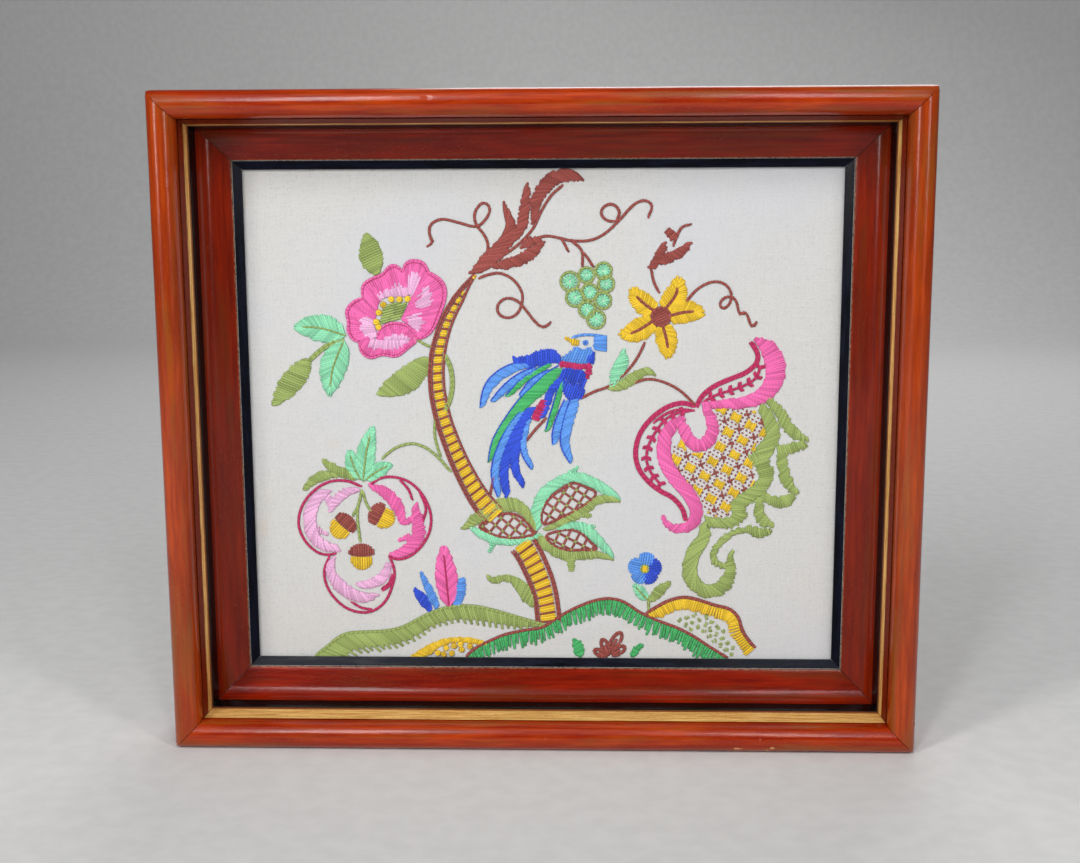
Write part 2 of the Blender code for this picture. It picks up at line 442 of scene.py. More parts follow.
# Sizes of the mouldings in mm, the same as in the CAD. A depth runs back from the bead's front
GAP = 0.3
EDGE = 0.4
BEAD = 6.5
LIP_BACK = 12.0
BODY_INSET = 9.5
BODY_BACK = 46.0
GILT_FRONT = 9.3
GILT_INSET = 16.0
GILT_DEPTH = 17.0
BAND_INSET = 17.5
BAND_FOOT = 24.0
COVE = 7.4
SIGHT_INSET = 31.4
SIGHT_DEPTH = 34.3
REBATE_INSET = 27.5
INNER_BACK = 44.0
SLIP_INSET = 36.0
SLIP_DROP = 2.2
SLIP_EDGE = 0.2


def outer_section():
    """A half-round bead with a rebate behind it."""
    bead = arc((BEAD, BEAD), BEAD, 180, 360, 34)
    return section([Corner(0, BODY_BACK, 0.6, 0.5)] + bead + [
        Corner(2 * BEAD, LIP_BACK, 0.3),
        Corner(BODY_INSET, LIP_BACK),
        Corner(BODY_INSET, BODY_BACK, 0.3),
    ], step=4.0)


def gilt_section():
    """A steep face from the bead down to a narrow edge."""
    front = 2 * BEAD + GAP
    back = BODY_INSET + GAP
    return section([
        Corner(front, GILT_FRONT, 0.3, 0.3),
        Corner(GILT_INSET, GILT_DEPTH, 0.18, 1.0),
        Corner(GILT_INSET, GILT_DEPTH + EDGE),
        Corner(back, GILT_DEPTH + EDGE),
        Corner(back, LIP_BACK + GAP),
        Corner(front, LIP_BACK + GAP),
    ], step=0.9)


def inner_section():
    """A steep band, a cove and a gentle slope down to the sight edge."""
    front = GILT_DEPTH + EDGE + GAP
    back = BODY_INSET + GAP
    cove = arc((BAND_INSET + COVE, BAND_FOOT), COVE, 180, 112, 22)
    return section([
        Corner(back, front),
        Corner(GILT_INSET + GAP, front, 0.2),
        Corner(BAND_INSET - 0.2, BAND_FOOT - 1),
    ] + cove + [
        Corner(SIGHT_INSET, SIGHT_DEPTH, 0.2, 1.0),
        Corner(SIGHT_INSET, SIGHT_DEPTH + EDGE),
        Corner(REBATE_INSET, SIGHT_DEPTH + EDGE),
        Corner(REBATE_INSET, INNER_BACK, 0.4),
        Corner(back, INNER_BACK, 0.4),
    ], step=1.6)


def slip_section():
    """A thin bevelled slip round the sight opening."""
    front = SIGHT_DEPTH + EDGE + GAP
    back = front + SLIP_DROP + SLIP_EDGE
    return section([
        Corner(REBATE_INSET + GAP, front),
        Corner(SIGHT_INSET + GAP, front, 0.25, 0.9),
        Corner(SLIP_INSET, front + SLIP_DROP, 0.1, 0.7),
        Corner(SLIP_INSET, back),
        Corner(REBATE_INSET + GAP, back),
    ], step=0.8)


Ding = namedtuple("Ding", "side along inset length width deep bare")

# Chips and dents in the bead: where, along the side and in from the edge, and their sizes
DINGS = (
    Ding("bottom", 94, 2.6, 3.0, 1.1, 0.5, 1.0),
    Ding("bottom", 111, 3.0, 2.2, 1.6, 0.6, 1.0),
    Ding("bottom", 109, 1.4, 1.6, 0.8, 0.4, 1.0),
    Ding("bottom", 106, 8.2, 2.4, 1.5, 0.35, 0.0),
    Ding("bottom", -116, 8.0, 5.0, 1.2, 0.35, 0.0),
    Ding("bottom", -104, 3.4, 1.0, 1.8, 0.3, 0.6),
    Ding("bottom", -55, 3.6, 1.3, 1.2, 0.35, 0.3),
    Ding("bottom", 2, 7.4, 1.6, 0.9, 0.25, 0.4),
    Ding("bottom", 62, 8.4, 1.8, 0.8, 0.25, 0.3),
    Ding("top", -147, 5.2, 2.8, 1.2, 0.3, 0.0),
    Ding("top", 50, 4.4, 3.5, 1.0, 0.3, 0.0),
    Ding("right", -141, 0.9, 4.5, 1.6, 0.7, 0.0),
    Ding("left", 88, 5.0, 4.0, 1.2, 0.25, 0.0),
)

# Side name, turn about the panel's middle, length along it, size across it, shift of the grain
SIDES = (
    ("bottom", 0, FRAME_WIDTH, FRAME_HEIGHT, 0),
    ("left", 90, FRAME_HEIGHT, FRAME_WIDTH, GRAIN_SHIFT),
    ("top", 180, FRAME_WIDTH, FRAME_HEIGHT, 2 * GRAIN_SHIFT),
    ("right", 270, FRAME_HEIGHT, FRAME_WIDTH, 3 * GRAIN_SHIFT),
)
MITRE_GAP = 0.2
TIP_WEAR = 0.6
UNEVENNESS = 0.035

# Distances along a rail from one ring of points to the next, in mm, and how far from its ends
# the finer ones go. The dings' is a share of their length
RAIL_STEP = 5.0
TIP_STEP = 0.6
TIP_REACH = 6
DING_STEP = 0.17
LEAST_STEP = 0.12


def waves(places, scale, seed):
    """Smooth uneven values from about -1 to 1 along a line of places in mm."""
    turns = np.random.default_rng(seed).uniform(0, 2 * math.pi, 5)
    total = sum(
        math.sin(1.7 * k + seed) * np.sin(places / scale * (0.6 + 0.55 * k) + turns[k])
        for k in range(5)
    )
    return total / 2


def outward(outline):
    """The unit vector out of the section at each of its points."""
    ahead = np.roll(outline, -1, axis=0) - np.roll(outline, 1, axis=0)
    normal = unit_rows(np.stack((ahead[:, 1], -ahead[:, 0]), axis=1))
    area = np.sum(outline[:, 0] * np.roll(outline[:, 1], -1)
                  - outline[:, 1] * np.roll(outline[:, 0], -1))
    return normal * (1 if area > 0 else -1)


def rail_stations(length, dings):
    """Places along a rail from -1 to 1: even, and close together at its ends and at dings."""
    half = length / 2
    places = list(np.arange(-half, half, RAIL_STEP)) + [half]
    for end in (-half, half):
        places += list(end - np.sign(end) * np.arange(0.4, TIP_REACH, TIP_STEP))
    for ding in dings:
        places += list(ding.along + np.arange(-1.0, 1.01, DING_STEP) * ding.length)
    places = np.array(sorted(places))
    keep = np.concatenate(([True], np.diff(places) > LEAST_STEP))
    keep[-1] = True
    return places[keep] / half


def wear_bead(push, flat, along, reach, turn, dings):
    """Takes the worn tips and the dings off push, and returns how bare the wood is there."""
    near = np.clip(1 - (reach[None, :] - np.abs(along)) / 2.4, 0, 1)
    tip = np.clip(1 - flat[:, 0] / 5, 0, 1) * np.clip(1 - (flat[:, 1] - 3) / 16, 0, 1)
    push -= TIP_WEAR * near ** 2 * tip[None, :]
    bare = 0.62 * near * tip[None, :] * (turn == 0) * (along < 0)
    front = flat[:, 1] < BEAD + 0.5
    for d in dings:
        gap = ((along - d.along) / (d.length / 2)) ** 2
        gap = gap + ((flat[:, 0] - d.inset) / (d.width / 2))[None, :] ** 2
        gap += 0.4 * waves(along * 6 + flat[None, :, 0] * 9, 3.0, int(abs(d.along)))
        hollow = np.clip(1.15 - gap, 0, 1) * front[None, :]
        push -= d.deep * hollow
        bare = np.maximum(bare, d.bare * np.clip(hollow * 3, 0, 1))
    return bare


def tube_faces(rings, count):
    """Faces of a closed tube through rings of points, with a flat face at each end."""
    faces = []
    for i in range(rings - 1):
        for k in range(count):
            after = (k + 1) % count
            row = i * count
            faces.append((row + k, row + count + k, row + count + after, row + after))
    faces.append(tuple(range(count)))
    faces.append(tuple((rings - 1) * count + k for k in reversed(range(count))))
    return faces


def rail_object(name, outline, side_row, wear):
    """A rail swept along its side of the frame, with mitred ends and an uneven surface."""
    side, turn, length, across, shift = side_row
    dings = [d for d in DINGS if d.side == side and wear]
    stations = rail_stations(length, dings)
    flat = outline[:, :2]
    normals = outward(flat)
    reach = length / 2 - flat[:, 0] - MITRE_GAP
    along = stations[:, None] * reach[None, :]
    push = UNEVENNESS * waves(along, 21.0, turn + 3)
    bare = np.zeros_like(along)
    if wear:
        bare = wear_bead(push, flat, along, reach, turn, dings)
    inset = flat[None, :, 0] + normals[None, :, 0] * push
    depth = flat[None, :, 1] + normals[None, :, 1] * push
    places = np.stack((along, depth, inset), axis=-1).reshape(-1, 3)
    spin = Matrix.Rotation(math.radians(turn), 4, "Y")
    centre = Matrix.Translation((0, FRONT, FRAME_HEIGHT / 2 * MM))
    drop = Matrix.Translation((0, 0, -across / 2 * MM))
    world = centre @ spin @ drop
    shifted = places * MM @ np.array(world)[:3, :3].T + np.array(world.translation)
    mesh = bpy.data.meshes.new(name)
    mesh.from_pydata(shifted.tolist(), [], tube_faces(len(stations), len(outline)))
    add_values(mesh, "rail", "FLOAT_VECTOR", places + np.array((shift, 0, 0)))
    edges = np.broadcast_to(outline[None, :, 2], along.shape)
    add_values(mesh, "edge", "FLOAT", edges.reshape(-1))
    add_values(mesh, "bare", "FLOAT", bare.reshape(-1))
    flip_if_inside_out(mesh)
    mesh.shade_smooth()
    mesh.set_sharp_from_angle(angle=math.radians(42))
    return new_object(name, mesh)


def new_object(name, data):
    made = bpy.data.objects.new(name, data)
    bpy.context.scene.collection.objects.link(made)
    return made


def unit_rows(vectors):
    return vectors / np.maximum(np.linalg.norm(vectors, axis=1, keepdims=True), 1e-9)


def add_values(mesh, name, kind, values):
    attribute = mesh.attributes.new(name, kind, "POINT")
    key = "vector" if kind == "FLOAT_VECTOR" else "value"
    attribute.data.foreach_set(key, np.asarray(values, np.float32).reshape(-1))


def flip_if_inside_out(mesh):
    """Turns a closed mesh's faces round if its volume comes out negative."""
    mesh.calc_loop_triangles()
    points = np.empty(len(mesh.vertices) * 3, np.float32)
    mesh.vertices.foreach_get("co", points)
    points = points.reshape(-1, 3).astype(float)
    triangles = np.empty(len(mesh.loop_triangles) * 3, np.int32)
    mesh.loop_triangles.foreach_get("vertices", triangles)
    a, b, c = (points[triangles.reshape(-1, 3)[:, i]] for i in range(3))
    if np.sum(a * np.cross(b, c)) < 0:
        mesh.flip_normals()


def place_piece(piece, slot, material, *nodes):
    piece.data.materials.append(material)
    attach(piece, "root")
    if nodes:
        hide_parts(*nodes)
    return piece


def add_frame():
    kinds = (
        ("outer_moulding", "bead_rail", outer_section(), "outer_moulding", outer_wood(), True),
        ("gilt_slip", "gilt_rail", gilt_section(), "gilt", gilding(), False),
        ("inner_moulding", "cove_rail", inner_section(), "inner_moulding", inner_wood(), False),
        ("black_slip", "black_rail", slip_section(), "ebonised", ebony(), False),
    )
    for node, label, outline, slot, material, wear in kinds:
        for row in SIDES:
            piece = rail_object(f"{label}_{row[0]}", outline, row, wear)
            place_piece(piece, slot, material, f"{node}_{row[0]}")


# Linen

def linen_rise(across, up):
    """How far the cloth stands off its flat face, in mm: soft waves and small pulls."""
    soft = 0.09 * np.sin(across / 31 + 1.2 * np.sin(up / 47)) * np.cos(up / 37 + 0.7)
    pulls = 0.05 * np.sin(across / 9.5 + up / 23) * np.sin(up / 11 - across / 41)
    return soft + pulls - 0.14


def add_linen():
    low, high = LINEN_BOX
    width = (high.x - low.x) / MM
    height = (high.z - low.z) / MM
    bpy.ops.mesh.primitive_grid_add(
        x_subdivisions=round(width / LINEN_CELL),
        y_subdivisions=round(height / LINEN_CELL),
        size=1,
        rotation=(math.radians(90), 0, 0),
    )
    sheet = bpy.context.object
    sheet.name = "linen_ground"
    sheet.scale = (width * MM, height * MM, 1)
    sheet.location = ((low.x + high.x) / 2, LINEN_FACE, (low.z + high.z) / 2)
    bpy.ops.object.transform_apply(location=True, rotation=True, scale=True)
    points = np.empty(len(sheet.data.vertices) * 3, np.float32)
    sheet.data.vertices.foreach_get("co", points)
    points = points.reshape(-1, 3)
    points[:, 1] -= linen_rise(points[:, 0] / MM, points[:, 2] / MM) * MM
    sheet.data.vertices.foreach_set("co", points.reshape(-1))
    shell = sheet.modifiers.new("thickness", "SOLIDIFY")
    shell.thickness = LINEN_BACK - LINEN_FACE - LINEN_SLACK * MM
    shell.offset = -1
    sheet.data.shade_smooth()
    return place_piece(sheet, "linen", linen_cloth(), "linen_panel")


# Strands

# Every strand so far, by motif and wool
strands = {}


def strand(motif, yarn, points, widths, heights, shade):
    strands.setdefault((motif, yarn), []).append((points, widths, heights, shade))


# Height and thickness of each ring of a stitch, as shares of the wool's own
STITCH_RISE = np.array((-0.45, 0.15, 0.46, 0.56, 0.46, 0.15, -0.45))
STITCH_SIZE = np.array((0.5, 0.82, 0.97, 1.0, 0.97, 0.82, 0.5))
# Stitches up to this long, in mm, go without their middle ring, or are left out
STITCH_MIDDLE = 3
SHORT_STITCH = 3.2
LEAST_STITCH = 0.5


def stitch(motif, yarn, start, end, width=YARN_WIDTH, height=YARN_HEIGHT, base=0.0, shade=None):
    """One straight stitch from point to point, whose ends go down into the cloth.

    Without a shade of its own it takes a random one, with a little painted shade on each second
    stitch.
    """
    start = np.asarray(start, float)
    end = np.asarray(end, float)
    length = float(np.linalg.norm(end - start))
    if length < LEAST_STITCH:
        return
    ramp = min(0.5 / length, 0.26)
    steps = np.array((0, ramp * 0.45, ramp * 1.15, 0.5, 1 - ramp * 1.15, 1 - ramp * 0.45, 1))
    rise = STITCH_RISE * height + base
    size = STITCH_SIZE
    if length < SHORT_STITCH:
        steps, rise, size = (np.delete(values, STITCH_MIDDLE) for values in (steps, rise, size))
    flat = start + (end - start) * steps[:, None]
    points = np.column_stack((flat, rise))
    width = width * rng.uniform(0.93, 1.07)
    if shade is None:
        # Each second stitch is given a little painted shade, on top of its random tone, to part
        # neighbouring strands
        turn = len(strands.get((motif, yarn), ())) % 2
        shade = 0.2 * turn + rng.uniform(0, 0.75)
    strand(motif, yarn, points, size * width / 2, size * height / 2, shade)


def strand_mesh(name, group):
    """All strands of a piece in one mesh, with the yarn map and a shade for each strand."""
    positions, faces, maps, shades = [], [], [], []
    total = 0
    angles = np.arange(YARN_SIDES) * 2 * math.pi / YARN_SIDES
    for points, widths, heights, shade in group:
        rings = len(points)
        ahead = unit_rows(np.gradient(points, axis=0))
        side = unit_rows(np.cross(ahead, (0.0, 0.0, 1.0)))
        up = np.cross(side, ahead)
        around = side[:, None, :] * (widths[:, None] * np.cos(angles))[:, :, None]
        around = around + up[:, None, :] * (heights[:, None] * np.sin(angles))[:, :, None]
        positions.append((points[:, None, :] + around).reshape(-1, 3))
        run = run_along(points)
        offset = shade * 7
        for i in range(rings - 1):
            for k in range(YARN_SIDES):
                after = (k + 1) % YARN_SIDES
                low = total + i * YARN_SIDES
                high = low + YARN_SIDES
                faces.append((low + k, low + after, high + after, high + k))
                left, right = k / YARN_SIDES, (k + 1) / YARN_SIDES
                here, there = run[i] + offset, run[i + 1] + offset
                maps += (left, here, right, here, right, there, left, there)
        first = range(total, total + YARN_SIDES)
        last = range(total + (rings - 1) * YARN_SIDES, total + rings * YARN_SIDES)
        faces.append(tuple(reversed(first)))
        faces.append(tuple(last))
        maps += (0.0, offset) * (2 * YARN_SIDES)
        shades.append(np.full(rings * YARN_SIDES, shade))
        total += rings * YARN_SIDES
    places = np.concatenate(positions)
    rise = places[:, 2] + linen_rise(places[:, 0], places[:, 1])
    world = np.column_stack((places[:, 0] * MM, LINEN_FACE - rise * MM, places[:, 1] * MM))
    mesh = bpy.data.meshes.new(name)
    mesh.from_pydata(world.tolist(), [], faces)
    mesh.uv_layers.new(name="yarn").uv.foreach_set("vector", np.array(maps, np.float32))
    add_values(mesh, "shade", "FLOAT", np.concatenate(shades))
    flip_if_inside_out(mesh)
    mesh.shade_smooth()
    return mesh


def add_strands():
    """One piece for each motif and wool."""
    materials = {name: wool(name, colour) for name, colour in WOOLS.items()}
    pieces = []
    for (motif, yarn), group in strands.items():
        name = f"{motif}_{yarn}"
        piece = new_object(name, strand_mesh(name, group))
        pieces.append(place_piece(piece, "wool_" + yarn, materials[yarn]))
    return pieces


# Curves and kinds of stitch

CURVE_SPACING = 0.5
SPAN_STEPS = 24


def curve(points, closed=False):
    """A smooth curve through a few points, as points at an even spacing."""
    knots = np.asarray(points, float)
    count = len(knots)
    if closed:
        knots = np.concatenate((knots[-1:], knots, knots[:2]))
    else:
        first = 2 * knots[0] - knots[1]
        last = 2 * knots[-1] - knots[-2]
        knots = np.concatenate(([first], knots, [last]))
    t = np.linspace(0, 1, SPAN_STEPS, endpoint=False)[:, None]
    runs = []
    for k in range(count if closed else count - 1):
        a, b, c, d = knots[k:k + 4]
        runs.append(b + 0.5 * t * (c - a + t * (2 * a - 5 * b + 4 * c - d
                                                + t * (3 * (b - c) + d - a))))
    path = np.concatenate(runs + [knots[-2:-1] if not closed else runs[0][:1]])
    total = length_of(path)
    return at(path, np.linspace(0, 1, max(3, round(total / CURVE_SPACING) + 1)))


def length_of(path):
    return float(np.sum(np.linalg.norm(np.diff(path, axis=0), axis=1)))


def run_along(path):
    """The length of a path up to each of its points."""
    return np.concatenate(([0], np.cumsum(np.linalg.norm(np.diff(path, axis=0), axis=1))))


def at(path, shares):
    """Points on a path at these shares of its length."""
    run = run_along(path)
    wanted = np.clip(shares, 0, 1) * run[-1]
    return np.column_stack([np.interp(wanted, run, path[:, i]) for i in range(2)])


def sideways(path):
    """Unit vectors to the left of a path at each of its points."""
    ahead = unit_rows(np.gradient(path, axis=0))
    return np.column_stack((-ahead[:, 1], ahead[:, 0]))


def turned_left(vector):
    return np.array((-vector[1], vector[0]))


def towards(angle):
    return np.array((math.cos(angle), math.sin(angle)))


def even_shares(length, pitch=YARN_PITCH):
    """The middles of equal parts of a length, a pitch or so each, as shares of it."""
    count = max(1, round(length / pitch))
    return (np.arange(count) + 0.5) / count


def jitter(size):
    return rng.uniform(-size, size)


# Distance between rows and slant of stem stitch as shares of its width, and each second one's lift
STEM_ROW = 0.9
STEM_LEAN = 0.28
STEM_LIFT = 0.07


def stem(motif, yarn, path, width=1.2, long=2.7, base=0.0, rows=1):
    """Stem stitch: slanting stitches, each starting half way along the one before."""
    for row in range(rows):
        line = path + sideways(path) * (row - (rows - 1) / 2) * width * STEM_ROW
        total = length_of(line)
        count = max(1, round(total / (long * 0.5)) - 1)
        starts = np.linspace(0, 1 - min(1.0, long / total), count)
        heads = at(line, starts)
        tails = at(line, starts + long / total)
        across = sideways(np.vstack((heads, tails[-1:])))[:count] * width * STEM_LEAN
        for k, (head, tail, off) in enumerate(zip(heads, tails, across)):
            # Each second stitch is painted much darker and lifted a little: the darkening is painted
            # shade that shows the rope's twist
            shade = 0.05 + 0.75 * (k % 2) + jitter(0.05)
            rise = base + STEM_LIFT * (k % 2)
            stitch(motif, yarn, head - off, tail + off, width, YARN_HEIGHT, rise, shade)


LEAST_SATIN = 0.7


def satin(motif, yarn, left, right, slant=0.0, ragged=0.0):
    """Satin stitches side by side from one edge to the other. Slant is a share of the length."""
    shares = even_shares(max(length_of(left), length_of(right)))
    starts = at(left, shares - slant / 2)
    ends = at(right, shares + slant / 2)
    for start, end in zip(starts, ends):
        ahead = end - start
        size = np.linalg.norm(ahead)
        if size < LEAST_SATIN:
            continue
        ahead = ahead / size
        start = start - ahead * rng.uniform(-0.2, 0.2 + ragged)
        end = end + ahead * rng.uniform(-0.2, 0.2 + ragged)
        stitch(motif, yarn, start, end, base=jitter(0.05))


# How far a band's stitches stick out past its edges, in mm
RAGGED = {"frond": 1.0, "acanthus": 0.9, "sprout": 0.7}
PLAIN_RAGGED = 0.5
LEAF_RAGGED = 0.6


def band(motif, yarn, points, widths, slant):
    """A satin band along a curve, whose width goes through the given values at even steps."""
    path = curve(points)
    side = sideways(path) * half_widths(path, widths)[:, None]
    satin(motif, yarn, path + side, path - side, slant, RAGGED.get(motif, PLAIN_RAGGED))


def half_widths(path, widths):
    """Half of a width at each point of a path, through the given values at even steps."""
    shares = np.linspace(0, 1, len(path))
    return np.interp(shares, np.linspace(0, 1, len(widths)), widths) / 2


# Where a leaf is widest, and how far its stitches slant up to the vein, as shares of its length
LEAF_FULLEST = 0.45
VEIN_REACH = 0.16


def leaf(motif, yarn, root, tip, width, bend, vein):
    """A leaf of slanting stitches, which meet on its middle line where it has a vein."""
    root = np.array(root, float)
    tip = np.array(tip, float)
    ahead = tip - root
    path = curve((root, root + ahead / 2 + turned_left(ahead) * bend, tip))
    shares = np.linspace(0, 1, len(path))
    power = math.log(0.5) / math.log(LEAF_FULLEST)
    half = width / 2 * np.sin(math.pi * shares ** power) ** 0.75 + 0.25
    off = sideways(path) * half[:, None]
    if vein is None:
        satin(motif, yarn, path + off, path - off, 0.1, LEAF_RAGGED)
        return
    inner = at(path, shares * (1 - VEIN_REACH))
    for sign in (-1, 1):
        outer = at(path + off * sign, VEIN_REACH + shares * (1 - VEIN_REACH))
        satin(motif, yarn, outer, inner, 0.0, LEAF_RAGGED)
    stem(motif, vein, at(path, np.linspace(0, 0.84, 30)), 0.75, 2.4, TOP_LAYER)


# Where two rows of stitches meet, how unevenly, and how far they overlap, as shares across
MEET = 0.5
MEET_SPREAD = 0.2
OVERLAP = 0.12


def long_and_short(motif, yarn, outer, inner):
    """Two rows of stitches from an outer edge to an inner one, which meet at uneven places."""
    shares = even_shares(length_of(outer))
    starts = at(outer, shares)
    ends = at(inner, shares)
    for k, (start, end) in enumerate(zip(starts, ends)):
        meet = MEET + (MEET_SPREAD if k % 2 else -MEET_SPREAD) * rng.uniform(0.4, 1.0)
        joint = start + (end - start) * meet
        stitch(motif, yarn, start, joint)
        early = start + (end - start) * max(0.05, meet - OVERLAP)
        stitch(motif, yarn, early, end, height=YARN_HEIGHT * 0.85)


def spans(outline, angle, offset):
    """Where a line at an angle, this far from the origin, lies inside a closed outline."""
    direction = towards(angle)
    normal = turned_left(direction)
    level = outline @ normal - offset
    along = outline @ direction
    cuts = []
    for k in range(len(outline)):
        low, high = level[k - 1], level[k]
        if (low < 0) != (high < 0):
            share = low / (low - high)
            cuts.append(along[k - 1] + (along[k] - along[k - 1]) * share)
    cuts.sort()
    return [
        (direction * a + normal * offset, direction * b + normal * offset)
        for a, b in zip(cuts[::2], cuts[1::2])
    ]


def offsets(outline, angle, pitch):
    """Even offsets of the lines at an angle that cross an outline."""
    level = outline @ turned_left(towards(angle))
    first = math.ceil(level.min() / pitch + 0.3)
    return np.arange(first, math.floor(level.max() / pitch - 0.3) + 1) * pitch


LONGEST_FILL = 9.0


def fill(motif, yarn, outline, degrees, base=0.0):
    """An outline filled with straight stitches at an angle, long spans in uneven lengths."""
    angle = math.radians(degrees)
    for offset in offsets(outline, angle, YARN_PITCH):
        for start, end in spans(outline, angle, offset):
            size = np.linalg.norm(end - start)
            pieces = max(1, math.ceil(size / LONGEST_FILL))
            cuts = [0] + [(k + jitter(0.22)) / pieces for k in range(1, pieces)] + [1]
            for low, high in zip(cuts, cuts[1:]):
                near = start + (end - start) * low
                far = start + (end - start) * high
                stitch(motif, yarn, near, far, base=base)


def crossings(outline, first, second, pitch):
    """Crossing points inside an outline of two sets of lines at these angles in degrees."""
    a, b = math.radians(first), math.radians(second)
    rows = np.array((turned_left(towards(a)), turned_left(towards(b))))
    for u in offsets(outline, a, pitch):
        for v in offsets(outline, b, pitch):
            point = np.linalg.solve(rows, np.array((u, v)))
            if inside(outline, point):
                yield point


def inside(outline, point):
    return any(
        (start[0] - point[0]) * (end[0] - point[0]) < 0
        for start, end in spans(outline, 0.0, point[1])
    )


def small_cross(motif, yarn, point, angles, arm_length, base):
    """A small cross of thin wool, half way between a net's two directions."""
    for degrees in angles:
        arm = towards(math.radians(degrees + 45)) * arm_length
        stitch(motif, yarn, point - arm, point + arm, THIN_WIDTH, THIN_HEIGHT, base)


def trellis(motif, yarn, tie, outline, angles, pitch):
    """Long laid threads both ways across an outline, tied down by a small cross where they meet."""
    for degrees in angles:
        angle = math.radians(degrees)
        for offset in offsets(outline, angle, pitch):
            for start, end in spans(outline, angle, offset):
                stitch(motif, yarn, start, end, 1.25, 0.5)
    for point in crossings(outline, *angles, pitch):
        small_cross(motif, tie, point, angles, 0.95, TOP_LAYER + 0.05)


def knot(motif, yarn, point, size):
    """A French knot: the wool wound twice round and drawn down."""
    turns = np.linspace(0, 1, 18)
    start = rng.uniform(0, 2 * math.pi)
    angle = start + turns * 3.6 * math.pi
    radius = size * (0.34 - 0.2 * turns)
    rise = 0.2 + 0.4 * np.sin(turns * math.pi * 0.75)
    rise[0] = rise[-1] = -0.2
    points = np.column_stack((
        point[0] + radius * np.cos(angle), point[1] + radius * np.sin(angle), rise
    ))
    thick = np.full(len(turns), size * 0.19)
    strand(motif, yarn, points, thick, thick * 0.8, rng.uniform())


def seeds(motif, yarn, outline, pitch, long):
    """Short stitches strewn over an outline in little groups, at all angles."""
    for point in crossings(outline, 20, 80, pitch):
        turn = rng.uniform(0, math.pi)
        for k in range(3):
            arm = towards(turn + k * 0.25) * long / 2
            off = turned_left(arm) * (k - 1) * 0.75
            centre = point + off + (jitter(0.4), jitter(0.4))
            stitch(motif, yarn, centre - arm, centre + arm, 0.9, 0.45)


def ring(centre, across, up, degrees=0.0):
    """A closed smooth oval."""
    return curve(oval(centre, across, up, degrees)[:-1], closed=True)


def oval(centre, across, up, degrees=0.0, start=0, end=360):
    """Points round an oval, from one angle to another, turned by degrees."""
    turn = math.radians(degrees)
    steps = max(8, round(abs(end - start) / 12))
    angles = np.radians(np.linspace(start, end, steps + 1))
    x, y = across * np.cos(angles), up * np.sin(angles)
    return np.column_stack((
        centre[0] + x * math.cos(turn) - y * math.sin(turn),
        centre[1] + x * math.sin(turn) + y * math.cos(turn),
    ))


# Tables of the plain parts of the design

Band = namedtuple("Band", "motif wool slant widths points")
Line = namedtuple("Line", "motif wool rows points")
Leaf = namedtuple("Leaf", "motif wool vein root tip width bend")

